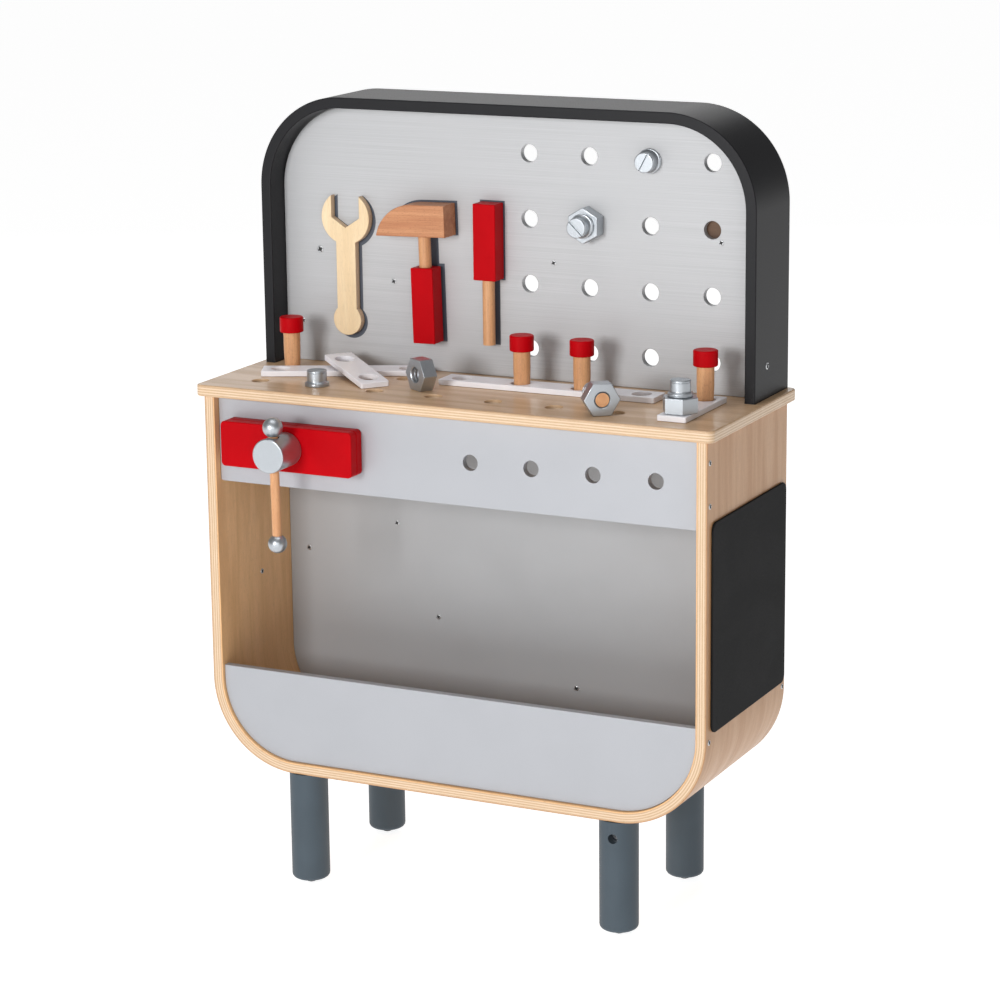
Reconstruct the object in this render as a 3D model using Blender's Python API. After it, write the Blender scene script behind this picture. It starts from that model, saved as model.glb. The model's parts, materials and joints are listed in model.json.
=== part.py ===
"""A child's toy workbench: a bent-plywood cabinet on four turned legs, a worktop and a pegboard
with a hood, a screw vice, and loose wooden tools, pegs, strips, nuts and bolts.

Lengths are metres, +Z is up and the bench faces -Y. Heights are measured from the floor. Depths
(the y values) are measured back from the cabinet's front edge: the empty "bench" stands there and
carries every piece, so that the world origin is under the middle of the whole object.
"""

import math

import bmesh
import bpy
from mathutils import Matrix, Vector

GAP = 0.0003  # left between two pieces that touch

# Cabinet
CABINET_WIDTH = 0.585
CABINET_DEPTH = 0.222
CABINET_BOTTOM = 0.1295
CABINET_TOP = 0.5442
PLY = 0.012
CORNER_RADIUS = 0.100  # outside radius of the bent corners
CORNER_STEPS = 10
EDGE = 0.0010  # rounding of sawn edges

# Worktop
WORKTOP_TOP = 0.5572
WORKTOP_WIDTH = 0.6008
WORKTOP_FRONT = -0.0066
WORKTOP_BACK = 0.230
WORKTOP_CORNER = 0.008

# The grid that the pegs, strips and bolts share
PITCH = 0.070
HOLE_RADIUS = 0.0095
ROW_DEPTHS = (0.0395, 0.1095)
WORKTOP_COLUMNS = 8
BOARD_COLUMNS = 4
BOARD_FIRST_COLUMN = 0.021
BOARD_LOWEST_ROW = 0.5912

# Panels in the cabinet
APRON_FRONT = 0.009
APRON_THICKNESS = 0.009
APRON_BOTTOM = 0.4498
APRON_FIRST_COLUMN = 0.0225
APRON_HOLE_HEIGHT = 0.497
APRON_HOLE_RADIUS = 0.0085
LOWER_PANEL_FRONT = 0.0038
LOWER_PANEL_THICKNESS = 0.009
LOWER_PANEL_TOP = 0.2425
BACK_PANEL_FRONT = 0.1555
BACK_PANEL_THICKNESS = 0.0045

# Hood and pegboard
HOOD_WIDTH = 0.5828
HOOD_FRONT = 0.1308
HOOD_BACK = 0.2265
HOOD_TOP = 0.855
BOARD_FRONT = 0.1606
BOARD_THICKNESS = 0.008
BOARD_CORNER = 0.091
CLEAT_THICKNESS = 0.018

# Chalkboard on the right side
CHALKBOARD_FRONT = 0.0108
CHALKBOARD_BACK = 0.215
CHALKBOARD_BOTTOM = 0.2365
CHALKBOARD_TOP = 0.4585
CHALKBOARD_THICKNESS = 0.0025
CHALKBOARD_CORNER = 0.009

# Legs, their glides and the bolts that hold them
LEG_RADIUS = 0.021
LEG_X = 0.1865
LEG_DEPTHS = (0.0195, 0.1985)
GLIDE_HEIGHT = 0.0055
GLIDE_RADIUS = 0.007
LEG_BOLT_RADIUS = 0.003
LEG_BOLT_LENGTH = 0.050
BARREL_NUT_HEIGHT = 0.1112
BARREL_NUT_RADIUS = 0.005
BARREL_NUT_LENGTH = 0.014

# Vice
VICE_X = -0.183
VICE_HEIGHT = 0.4985
JAW_LEFT = -0.2645
JAW_RIGHT = -0.1052
JAW_BOTTOM = 0.4727
JAW_TOP = 0.522
JAW_THICKNESS = 0.0118
JAW_CORNER = 0.005
HUB_RADIUS = 0.0185
HUB_LENGTH = 0.040
BAR_DEPTH = -0.0425
BAR_RADIUS = 0.005
BAR_TILT = math.radians(-0.94)
TOP_BALL_RADIUS = 0.0108
BOTTOM_BALL_RADIUS = 0.0102
BALL_SPACING = 0.1244
VICE_SCREW_RADIUS = 0.008
NUT_BLOCK_WIDTH = 0.064
NUT_BLOCK_BOTTOM = 0.4512
NUT_BLOCK_THICKNESS = 0.0125

# Loose construction pieces
PEG_RADIUS = 0.0092
CAP_RADIUS = 0.013
CAP_HEIGHT = 0.017
PEG_STAND = 0.0415  # from the worktop to the underside of the cap
STRIP_WIDTH = 0.032
STRIP_THICKNESS = 0.006
STRIP_HOLE_RADIUS = 0.0106
STRIP_END = 0.0205  # from the last hole's centre to the end
NUT_FLATS = 0.0335
NUT_THICKNESS = 0.0165
NUT_BORE = 0.0081
FLANGE_RADIUS = 0.0131
BOLT_HEAD_RADIUS = 0.0107
BOLT_HEAD_HEIGHT = 0.017
BOLT_SHANK_RADIUS = 0.0077
BOLT_SHANK_LENGTH = 0.028
BOLT_SAG = (-0.0005, -0.0014)  # of a bolt on the board, in x and z from its hole's centre

# Tools
WRENCH_THICKNESS = 0.009
WRENCH_RADIUS = 0.0295
WRENCH_JAW = 0.0342
WRENCH_SHANK = 0.024
WRENCH_END_RADIUS = 0.0172
WRENCH_END_DROP = 0.113  # from the jaw's centre to the round end's centre
GRIP_WIDTH = 0.0265
GRIP_DEPTH = 0.0215
GRIP_LENGTH = 0.0825
TOOL_SHAFT_RADIUS = 0.0067
HAMMER_HEAD_DEPTH = 0.028
HAMMER_HEAD_HEIGHT = 0.0344

SHELL_WIDTH_INSIDE = CABINET_WIDTH - 2 * PLY
INNER_CORNER = CORNER_RADIUS - PLY
HUB_FRONT = APRON_FRONT - 3 * GAP - 2 * JAW_THICKNESS - HUB_LENGTH
OBJECT_MIDDLE = (HUB_FRONT + WORKTOP_BACK) / 2
STRIP_TOP = WORKTOP_TOP + GAP + STRIP_THICKNESS


# ---------------------------------------------------------------- materials


def paint(name, colour, roughness, metallic=0.0):
    """A Principled material of one colour."""
    result = bpy.data.materials.new(name)
    result.use_nodes = True
    shader = result.node_tree.nodes["Principled BSDF"]
    shader.inputs["Base Color"].default_value = (*colour, 1.0)
    shader.inputs["Roughness"].default_value = roughness
    shader.inputs["Metallic"].default_value = metallic
    return result


def make_paints():
    return {
        "birch": paint("birch_ply", (0.66, 0.48, 0.31), 0.45),
        "beech": paint("beech", (0.72, 0.44, 0.24), 0.5),
        "silver": paint("silver_paint", (0.56, 0.57, 0.60), 0.4, 0.3),
        "black": paint("black_paint", (0.03, 0.03, 0.033), 0.45),
        "slate": paint("slate_paint", (0.11, 0.14, 0.16), 0.5),
        "red": paint("red_paint", (0.60, 0.005, 0.01), 0.35),
        "white": paint("white_paint", (0.80, 0.80, 0.82), 0.4),
        "chalk": paint("chalkboard_paint", (0.025, 0.025, 0.026), 0.85),
        "steel": paint("zinc_steel", (0.60, 0.60, 0.62), 0.3, 1.0),
        "rubber": paint("black_rubber", (0.02, 0.02, 0.02), 0.7),
    }


# ---------------------------------------------------------------- outlines


def arc(centre_a, centre_b, radius, start, end, steps=CORNER_STEPS):
    """Points on a circle from the start angle to the end angle, in degrees, both ends included."""
    angles = [math.radians(start + (end - start) * i / steps) for i in range(steps + 1)]
    return [(centre_a + radius * math.cos(a), centre_b + radius * math.sin(a)) for a in angles]


def rectangle(left, right, bottom, top, radius=0.0, steps=4):
    """A rectangle, with round corners if a radius is given."""
    if not radius:
        return [(left, bottom), (right, bottom), (right, top), (left, top)]
    return (
        arc(left + radius, bottom + radius, radius, 180, 270, steps)
        + arc(right - radius, bottom + radius, radius, 270, 360, steps)
        + arc(right - radius, top - radius, radius, 0, 90, steps)
        + arc(left + radius, top - radius, radius, 90, 180, steps)
    )


def arch(half_width, radius, foot, crown):
    """The left foot, the two round corners and the right foot of an arch, upright or upside down."""
    side = 1 if crown > foot else -1
    left = arc(radius - half_width, crown - side * radius, radius, 180, 180 - side * 90)
    right = arc(half_width - radius, crown - side * radius, radius, side * 90, 0)
    return [(-half_width, foot)] + left + right + [(half_width, foot)]


def band(half_width, thickness, radius, foot, crown):
    """An arch of one thickness: a board bent round two corners."""
    side = 1 if crown > foot else -1
    inside = arch(half_width - thickness, radius - thickness, foot, crown - side * thickness)
    return arch(half_width, radius, foot, crown) + inside[::-1]


def hexagon(flats, turn=0.0):
    """A regular hexagon by its width across flats, its corners turned from +X by some degrees."""
    return arc(0, 0, flats / math.sqrt(3), turn, turn + 300, 5)


def wrench_outline():
    """An open-ended spanner around its jaw's centre, symmetrical about the vertical."""
    jaw = WRENCH_JAW / 2
    shank = WRENCH_SHANK / 2
    tip = math.degrees(math.acos(jaw / WRENCH_RADIUS))
    neck = math.degrees(math.acos(shank / WRENCH_RADIUS))
    end = math.degrees(math.acos(shank / WRENCH_END_RADIUS))
    right = [(jaw, 0.0)]
    right += arc(0, 0, WRENCH_RADIUS, tip, -neck, 10)
    right += arc(0, -WRENCH_END_DROP, WRENCH_END_RADIUS, end, -90, 8)
    left = [(-x, z) for x, z in reversed(right[:-1])]
    return [(0.0, -0.011)] + right + left


def hammer_head_outline():
    """The head around the shaft's axis at the head's underside: a curved claw side and a flat face."""
    claw_tip = -0.0521
    claw_top = -0.0091
    face = 0.0314
    run = claw_top - claw_tip
    radius = (run**2 + HAMMER_HEAD_HEIGHT**2) / (2 * HAMMER_HEAD_HEIGHT)
    sweep = math.degrees(math.asin(run / radius))
    curve = arc(claw_top, HAMMER_HEAD_HEIGHT - radius, radius, 90, 90 + sweep, 10)
    return curve + [(face, 0.0), (face, HAMMER_HEAD_HEIGHT)]


# ---------------------------------------------------------------- solids


def prism(outline, axis, low, high):
    """The outline pushed out along an axis. Its two numbers are the other two coordinates in order."""
    order = {"X": (2, 0, 1), "Y": (0, 2, 1), "Z": (0, 1, 2)}[axis]
    mesh = bmesh.new()
    rings = []
    for end in (low, high):
        points = [(a, b, end) for a, b in outline]
        rings.append([mesh.verts.new(tuple(point[i] for i in order)) for point in points])
    mesh.faces.new(rings[0])
    mesh.faces.new(rings[1])
    count = len(outline)
    for i in range(count):
        j = (i + 1) % count
        mesh.faces.new((rings[0][i], rings[0][j], rings[1][j], rings[1][i]))
    return mesh


def turned(profile, segments=20):
    """A profile of (radius, height) points turned about Z. It starts and ends on the axis."""
    mesh = bmesh.new()
    rings = []
    for radius, height in profile:
        if radius == 0:
            rings.append([mesh.verts.new((0, 0, height))] * segments)
            continue
        turns = [2 * math.pi * i / segments for i in range(segments)]
        points = [(radius * math.cos(a), radius * math.sin(a), height) for a in turns]
        rings.append([mesh.verts.new(point) for point in points])
    for lower, upper in zip(rings, rings[1:]):
        for i in range(segments):
            j = (i + 1) % segments
            corners = list(dict.fromkeys((lower[i], lower[j], upper[j], upper[i])))
            mesh.faces.new(corners)
    return mesh


def rod(radius, low, high, chamfer=0.0, segments=16):
    """A round bar along Z, with chamfered ends if asked."""
    ends = [(radius, low), (radius, high)]
    if chamfer:
        lower_end = [(radius - chamfer, low), (radius, low + chamfer)]
        upper_end = [(radius, high - chamfer), (radius - chamfer, high)]
        ends = lower_end + upper_end
    return turned([(0, low)] + ends + [(0, high)], segments)


def place(name, mesh, look, parent, location=(0, 0, 0), rotation=(0, 0, 0)):
    """An object from a bmesh, smooth where its faces meet at a small angle."""
    bmesh.ops.recalc_face_normals(mesh, faces=mesh.faces)
    data = bpy.data.meshes.new(name)
    mesh.to_mesh(data)
    mesh.free()
    if look:
        data.materials.append(look)
    data.shade_smooth()
    data.set_sharp_from_angle(angle=math.radians(35))
    result = bpy.data.objects.new(name, data)
    result.parent = parent
    result.location = location
    result.rotation_euler = rotation
    bpy.context.scene.collection.objects.link(result)
    return result


def group(name, parent, location=(0, 0, 0), rotation=(0, 0, 0)):
    """An empty that carries the pieces of one assembly."""
    result = bpy.data.objects.new(name, None)
    result.parent = parent
    result.location = location
    result.rotation_euler = rotation
    bpy.context.scene.collection.objects.link(result)
    return result


def soften(piece, width=EDGE, segments=1):
    bevel = piece.modifiers.new("rounded edges", "BEVEL")
    bevel.width = width
    bevel.segments = segments
    bevel.limit_method = "ANGLE"
    bevel.angle_limit = math.radians(40)


def cut(piece, mesh, name, location=(0, 0, 0), rotation=(0, 0, 0)):
    """Cuts a bmesh, placed in the same frame as the piece, out of the piece."""
    cutter = place(f"cutter_{name}", mesh, None, piece.parent, location, rotation)
    cutter.hide_render = True
    cutter.display_type = "WIRE"
    boolean = piece.modifiers.new(f"cut {name}", "BOOLEAN")
    boolean.operation = "DIFFERENCE"
    boolean.solver = "EXACT"
    boolean.object = cutter


def row_of_rods(centres, radius, axis, low, high, segments=16):
    """Round cutters along one axis, at centres given in the other two coordinates."""
    mesh = bmesh.new()
    for a, b in centres:
        single = prism(arc(a, b, radius, 0, 360 - 360 / segments, segments - 1), axis, low, high)
        bmesh.ops.recalc_face_normals(single, faces=single.faces)
        data = bpy.data.meshes.new("one rod")
        single.to_mesh(data)
        single.free()
        mesh.from_mesh(data)
        bpy.data.meshes.remove(data)
    return mesh


# ---------------------------------------------------------------- the bench


def cabinet(bench, looks):
    """The bent shell that is both sides and the floor, and the three panels between its sides."""
    half = CABINET_WIDTH / 2
    outline = band(half, PLY, CORNER_RADIUS, CABINET_TOP, CABINET_BOTTOM)
    shell = place("cabinet_shell", prism(outline, "Y", 0, CABINET_DEPTH), looks["birch"], bench)
    soften(shell)
    bolt_places = [(side * LEG_X, depth) for depth in LEG_DEPTHS for side in (-1, 1)]
    clearance = LEG_BOLT_RADIUS + GAP
    floor = CABINET_BOTTOM
    cut(shell, row_of_rods(bolt_places, clearance, "Z", floor - PLY, floor + 2 * PLY, 12), "bolts")

    inside = SHELL_WIDTH_INSIDE / 2 - GAP
    inner_floor = CABINET_BOTTOM + PLY + GAP
    top = CABINET_TOP - GAP
    apron_outline = rectangle(-inside, inside, APRON_BOTTOM, top)
    back = APRON_FRONT + APRON_THICKNESS
    apron = place("front_apron", prism(apron_outline, "Y", APRON_FRONT, back), looks["silver"], bench)
    soften(apron)
    columns = [APRON_FIRST_COLUMN + PITCH * i for i in range(BOARD_COLUMNS)]
    holes = [(x, APRON_HOLE_HEIGHT) for x in columns]
    cut(apron, row_of_rods(holes, APRON_HOLE_RADIUS, "Y", APRON_FRONT - PLY, back + PLY), "apron")
    screw_hole = row_of_rods([(VICE_X, VICE_HEIGHT)], HOLE_RADIUS, "Y", APRON_FRONT - PLY, back + PLY)
    cut(apron, screw_hole, "apron_screw")

    lower_outline = arch(inside, INNER_CORNER - GAP, LOWER_PANEL_TOP, inner_floor)
    back = LOWER_PANEL_FRONT + LOWER_PANEL_THICKNESS
    lower = prism(lower_outline, "Y", LOWER_PANEL_FRONT, back)
    soften(place("lower_front_panel", lower, looks["silver"], bench))

    back_outline = arch(inside, INNER_CORNER - GAP, top, inner_floor)
    back = BACK_PANEL_FRONT + BACK_PANEL_THICKNESS
    place("cabinet_back_panel", prism(back_outline, "Y", BACK_PANEL_FRONT, back), looks["silver"], bench)


def worktop(bench, looks):
    """The thick plywood top with two rows of peg holes."""
    half = WORKTOP_WIDTH / 2
    bottom = CABINET_TOP + GAP
    outline = rectangle(-half, half, WORKTOP_FRONT, WORKTOP_BACK, WORKTOP_CORNER, 6)
    top = place("worktop", prism(outline, "Z", bottom, WORKTOP_TOP), looks["birch"], bench)
    soften(top, 0.0015)
    first = -PITCH * (WORKTOP_COLUMNS - 1) / 2
    holes = [(first + PITCH * i, y) for y in ROW_DEPTHS for i in range(WORKTOP_COLUMNS)]
    cut(top, row_of_rods(holes, HOLE_RADIUS, "Z", bottom - PLY, WORKTOP_TOP + PLY), "worktop")


def hood_and_board(bench, looks):
    """The bent black hood, the pegboard inside it and the cleat that holds the board's right side."""
    half = HOOD_WIDTH / 2
    foot = WORKTOP_TOP + GAP
    outline = band(half, PLY, CORNER_RADIUS, foot, HOOD_TOP)
    soften(place("hood", prism(outline, "Y", HOOD_FRONT, HOOD_BACK), looks["black"], bench))

    inside = half - PLY - GAP
    crown = HOOD_TOP - PLY - GAP
    back = BOARD_FRONT + BOARD_THICKNESS
    outline = arch(inside, BOARD_CORNER, foot, crown)
    board = place("pegboard", prism(outline, "Y", BOARD_FRONT, back), looks["silver"], bench)
    rows = [BOARD_LOWEST_ROW + PITCH * i for i in range(BOARD_COLUMNS)]
    columns = [BOARD_FIRST_COLUMN + PITCH * i for i in range(BOARD_COLUMNS)]
    holes = [(x, z) for z in rows for x in columns]
    cut(board, row_of_rods(holes, HOLE_RADIUS, "Y", BOARD_FRONT - PLY, back + PLY), "board")

    cleat_bottom = BOARD_LOWEST_ROW + 1.55 * PITCH
    cleat_top = BOARD_LOWEST_ROW + 2.25 * PITCH
    cleat_end = BOARD_FIRST_COLUMN + 1.72 * PITCH
    slope = 0.045
    cleat_outline = [
        (cleat_end, cleat_bottom),
        (inside, cleat_bottom),
        (inside, cleat_top),
        (cleat_end + slope, cleat_top),
    ]
    front = back + GAP
    cleat = prism(cleat_outline, "Y", front, front + CLEAT_THICKNESS)
    soften(place("board_cleat", cleat, looks["beech"], bench))


def chalkboard(bench, looks):
    outline = rectangle(
        CHALKBOARD_FRONT, CHALKBOARD_BACK, CHALKBOARD_BOTTOM, CHALKBOARD_TOP, CHALKBOARD_CORNER
    )
    inner_face = CABINET_WIDTH / 2 + GAP
    panel = prism(outline, "X", inner_face, inner_face + CHALKBOARD_THICKNESS)
    place("side_chalkboard", panel, looks["chalk"], bench)


def leg_profile(length, bolt_hole_depth):
    """A leg from its own bottom: a blind hole for the glide's pin, a round foot, and at the top a
    blind hole for the bolt."""
    pin = 0.0023
    pin_depth = 0.010
    bolt = LEG_BOLT_RADIUS + GAP
    foot = 0.005
    profile = [(0, pin_depth), (pin, pin_depth), (pin, 0)]
    profile += arc(LEG_RADIUS - foot, foot, foot, -90, 0, 2)
    profile += [(LEG_RADIUS, length), (bolt, length), (bolt, length - bolt_hole_depth)]
    return profile + [(0, length - bolt_hole_depth)]


def leg(bench, looks, name, x, y, nut_turn):
    """One leg with its glide, its bolt down through the cabinet's floor and the barrel nut that
    the bolt pulls on. The nut's cross hole opens at nut_turn, from -Y towards +X."""
    stand = group(f"leg_{name}_place", bench, (x, y, 0), (0, 0, nut_turn))
    bottom = GLIDE_HEIGHT + GAP
    length = CABINET_BOTTOM - GAP - bottom
    hole_depth = CABINET_BOTTOM - BARREL_NUT_HEIGHT + 0.022
    post_mesh = turned(leg_profile(length, hole_depth), 24)
    post = place(f"leg_{name}", post_mesh, looks["slate"], stand, (0, 0, bottom))
    cross = row_of_rods(
        [(0, BARREL_NUT_HEIGHT)],
        BARREL_NUT_RADIUS + GAP,
        "Y",
        -2 * LEG_RADIUS,
        BARREL_NUT_LENGTH / 2 + GAP,
        12,
    )
    cut(post, cross, f"leg_{name}")

    glide = [(0, 0), (0.004, 0), (GLIDE_RADIUS, 0.002), (GLIDE_RADIUS, GLIDE_HEIGHT)]
    glide += [(0.002, GLIDE_HEIGHT), (0.002, GLIDE_HEIGHT + 0.008), (0, GLIDE_HEIGHT + 0.008)]
    place(f"glide_{name}", turned(glide, 12), looks["rubber"], stand)

    nut = rod(BARREL_NUT_RADIUS, -BARREL_NUT_LENGTH / 2, BARREL_NUT_LENGTH / 2, 0, 12)
    quarter = math.radians(90)
    place_nut = (0, 0, BARREL_NUT_HEIGHT)
    barrel = place(f"barrel_nut_{name}", nut, looks["steel"], stand, place_nut, (quarter, 0, 0))
    thread = row_of_rods([(0, 0)], LEG_BOLT_RADIUS + GAP, "Z", -PLY, PLY, 12)
    cut(barrel, thread, f"barrel_nut_{name}", place_nut)

    head = 0.0062
    under = CABINET_BOTTOM + PLY + GAP
    bolt = [(0, -LEG_BOLT_LENGTH), (LEG_BOLT_RADIUS, -LEG_BOLT_LENGTH), (LEG_BOLT_RADIUS, 0)]
    bolt += [(head, 0), (head, 0.0018), (0.003, 0.0034), (0, 0.0034)]
    place(f"leg_bolt_{name}", turned(bolt, 12), looks["steel"], stand, (0, 0, under))


def legs(bench, looks):
    for y, end, turns in zip(LEG_DEPTHS, ("front", "back"), ((200, 5), (150, 115))):
        for side, hand, turn in zip((-1, 1), ("left", "right"), turns):
            leg(bench, looks, f"{end}_{hand}", side * LEG_X, y, math.radians(turn))


# ---------------------------------------------------------------- the vice


def jaw(name, front, bench, looks):
    outline = rectangle(JAW_LEFT, JAW_RIGHT, JAW_BOTTOM, JAW_TOP, JAW_CORNER)
    plate = place(name, prism(outline, "Y", front, front + JAW_THICKNESS), looks["red"], bench)
    soften(plate)
    hole = row_of_rods([(VICE_X, VICE_HEIGHT)], HOLE_RADIUS, "Y", front - PLY, front + 2 * PLY)
    cut(plate, hole, name)


def vice(bench, looks):
    """Two jaws, and a hub with its screw and sliding T-bar. The screw turns in a block behind the
    apron and pulls the front jaw in."""
    fixed_front = APRON_FRONT - GAP - JAW_THICKNESS
    moving_front = fixed_front - GAP - JAW_THICKNESS
    jaw("vice_fixed_jaw", fixed_front, bench, looks)
    jaw("vice_moving_jaw", moving_front, bench, looks)

    block_front = APRON_FRONT + APRON_THICKNESS + GAP
    block_back = block_front + NUT_BLOCK_THICKNESS
    half = NUT_BLOCK_WIDTH / 2
    outline = rectangle(VICE_X - half, VICE_X + half, NUT_BLOCK_BOTTOM, CABINET_TOP - GAP)
    block = place("vice_nut_block", prism(outline, "Y", block_front, block_back), looks["birch"], bench)
    screw_hole = VICE_SCREW_RADIUS + GAP
    bore = row_of_rods([(VICE_X, VICE_HEIGHT)], screw_hole, "Y", block_front - PLY, block_back + PLY)
    cut(block, bore, "nut_block")

    axis = group("vice_axis", bench, (VICE_X, HUB_FRONT, VICE_HEIGHT), (math.radians(-90), 0, 0))
    socket = 0.011
    hub_profile = [(0, 0), (HUB_RADIUS - EDGE, 0), (HUB_RADIUS, EDGE), (HUB_RADIUS, HUB_LENGTH - EDGE)]
    hub_profile += [(HUB_RADIUS - EDGE, HUB_LENGTH), (screw_hole, HUB_LENGTH)]
    hub_profile += [(screw_hole, HUB_LENGTH - socket), (0, HUB_LENGTH - socket)]
    hub = place("vice_hub", turned(hub_profile, 24), looks["silver"], axis)
    bar_along = BAR_DEPTH - HUB_FRONT
    bar_hole = row_of_rods([(0, bar_along)], BAR_RADIUS + 0.001, "Y", -2 * HUB_RADIUS, 2 * HUB_RADIUS, 12)
    cut(hub, bar_hole, "hub", (0, 0, 0), (0, 0, BAR_TILT))
    screw_start = HUB_LENGTH - socket + GAP
    screw_end = block_back - HUB_FRONT + 0.038
    screw = rod(VICE_SCREW_RADIUS, screw_start, screw_end, 0.0015)
    place("vice_screw", screw, looks["beech"], axis)

    handle = group("vice_bar_place", bench, (VICE_X, BAR_DEPTH, VICE_HEIGHT), (0, BAR_TILT, 0))
    rest = HUB_RADIUS + TOP_BALL_RADIUS - 0.0015
    sink = 0.006
    ball_centres = (rest, rest - BALL_SPACING)
    bar = rod(BAR_RADIUS, ball_centres[1] + sink, ball_centres[0] - sink, 0, 12)
    place("vice_bar", bar, looks["beech"], handle)
    radii = (TOP_BALL_RADIUS, BOTTOM_BALL_RADIUS)
    for name, height, radius, facing in zip(("top", "bottom"), ball_centres, radii, (180, 0)):
        turn = (math.radians(facing), 0, 0)
        ball = knob(radius, sink - GAP)
        place(f"vice_ball_{name}", ball, looks["silver"], handle, (0, 0, height), turn)


def knob(radius, depth_of_hole):
    """A ball with a blind hole from above, whose floor is depth_of_hole above the centre."""
    hole = BAR_RADIUS + GAP
    rim = math.degrees(math.asin(hole / radius))
    surface = [(r, -z) for z, r in arc(0, 0, radius, 0, 180 - rim, 8)]
    surface[0] = (0, -radius)
    return turned(surface + [(hole, depth_of_hole), (0, depth_of_hole)], 16)


# ---------------------------------------------------------------- loose pieces


def peg(number, x, y, bench, looks):
    """A tapered dowel that stands in a worktop hole, with a cap glued on its top."""
    spot = (x, y, WORKTOP_TOP)
    glued = 0.0075
    dowel = [(0, -0.026), (0.0070, -0.026), (0.0078, -0.0245), (PEG_RADIUS, 0.022)]
    dowel += [(PEG_RADIUS, PEG_STAND + glued), (0, PEG_STAND + glued)]
    place(f"peg_{number}_dowel", turned(dowel), looks["beech"], bench, spot)
    bore = PEG_RADIUS + GAP
    round_edge = 0.0014
    cap_top = PEG_STAND + CAP_HEIGHT
    cap = [(0, PEG_STAND + glued + GAP), (bore, PEG_STAND + glued + GAP), (bore, PEG_STAND)]
    cap += [(CAP_RADIUS - round_edge, PEG_STAND), (CAP_RADIUS, PEG_STAND + round_edge)]
    cap += [(CAP_RADIUS, cap_top - round_edge), (CAP_RADIUS - round_edge, cap_top), (0, cap_top)]
    place(f"peg_{number}_cap", turned(cap), looks["red"], bench, spot)


def strip(name, holes, bench, looks, first_hole, turn, tilt=0.0, height=WORKTOP_TOP + GAP):
    """A flat strip with holes at the pitch. Its origin is the underside at the first hole, and tilt
    lifts the first hole's end."""
    last = PITCH * (holes - 1)
    half = STRIP_WIDTH / 2
    outline = rectangle(-STRIP_END, last + STRIP_END, -half, half, 0.0015, 2)
    spot = (*first_hole, height)
    rotation = (0, tilt, turn)
    piece = place(name, prism(outline, "Z", 0, STRIP_THICKNESS), looks["white"], bench, spot, rotation)
    centres = [(PITCH * i, 0) for i in range(holes)]
    cut(piece, row_of_rods(centres, STRIP_HOLE_RADIUS, "Z", -PLY, PLY), name, spot, rotation)


def nut(name, bench, looks, location, rotation, turn=0.0):
    """A hexagonal nut, its axis along its own Z and its origin in the middle."""
    half = NUT_THICKNESS / 2
    blank = prism(hexagon(NUT_FLATS, turn), "Z", -half, half)
    piece = place(name, blank, looks["silver"], bench, location, rotation)
    soften(piece, 0.0006)
    cut(piece, row_of_rods([(0, 0)], NUT_BORE, "Z", -PLY, PLY), name, location, rotation)


def bolt(name, bench, looks, location, rotation, slot_turn=0.0):
    """A turned bolt. Its origin is under the flange, on the axis, with the head up its own Z."""
    shank = BOLT_SHANK_RADIUS
    end = -BOLT_SHANK_LENGTH
    neck = 0.0034
    profile = [(0, end), (shank - 0.001, end), (shank, end + 0.001), (shank, 0)]
    profile += [(FLANGE_RADIUS - 0.0005, 0), (FLANGE_RADIUS, 0.0006), (FLANGE_RADIUS, neck)]
    flare = FLANGE_RADIUS - BOLT_HEAD_RADIUS
    profile += [(FLANGE_RADIUS - r, neck + z) for r, z in arc(0, 0.0028, flare, -60, 0, 2)]
    head_top = BOLT_HEAD_HEIGHT
    profile += [(BOLT_HEAD_RADIUS, head_top - 0.0012), (BOLT_HEAD_RADIUS - 0.0012, head_top)]
    piece = place(name, turned(profile + [(0, head_top)]), looks["silver"], bench, location, rotation)
    slot_outline = rectangle(-0.0013, 0.0013, -FLANGE_RADIUS, FLANGE_RADIUS)
    slot = prism(slot_outline, "Z", head_top - 0.0025, head_top + PLY)
    bmesh.ops.rotate(slot, verts=slot.verts, matrix=Matrix.Rotation(slot_turn, 3, "Z"))
    cut(piece, slot, name, location, rotation)


def crossing(start, heading, line_start, line_heading):
    """How far from start, along heading, another line is crossed."""
    apart = Vector(line_start) - Vector(start)
    across = heading.x * line_heading.y - heading.y * line_heading.x
    return (apart.x * line_heading.y - apart.y * line_heading.x) / across


def loose_strips(bench, looks):
    """Four strips: one across the left of the worktop, a short one leaning on it, a long one along
    the back row of holes, and one at the right that runs from front to back."""
    half = STRIP_WIDTH / 2
    low_turn = math.radians(24)
    low_first = Vector((-0.242, 0.079))
    strip("strip_3_hole", 3, bench, looks, low_first, low_turn)

    lean_turn = math.radians(-40)
    lean_first = Vector((-0.1805, 0.111))
    along = Vector((math.cos(lean_turn), math.sin(lean_turn)))
    across = Vector((-along.y, along.x))
    front_end = lean_first + along * (PITCH + STRIP_END)
    low_along = Vector((math.cos(low_turn), math.sin(low_turn)))
    low_front_edge = low_first + Vector((low_along.y, -low_along.x)) * half
    run = crossing(front_end + across * half, -along, low_front_edge, low_along)
    tilt = math.asin((STRIP_THICKNESS + 2 * GAP) / run)
    height = WORKTOP_TOP + GAP + math.sin(tilt) * (PITCH + STRIP_END)
    strip("strip_2_hole_leaning", 2, bench, looks, lean_first, lean_turn, tilt, height)

    play = 0.0016
    first = (-PITCH / 2 - play, ROW_DEPTHS[1])
    strip("strip_4_hole", 4, bench, looks, first, 0.0)
    column = PITCH * (WORKTOP_COLUMNS - 1) / 2
    strip("strip_2_hole_right", 2, bench, looks, (column, ROW_DEPTHS[0]), math.radians(90))


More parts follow.
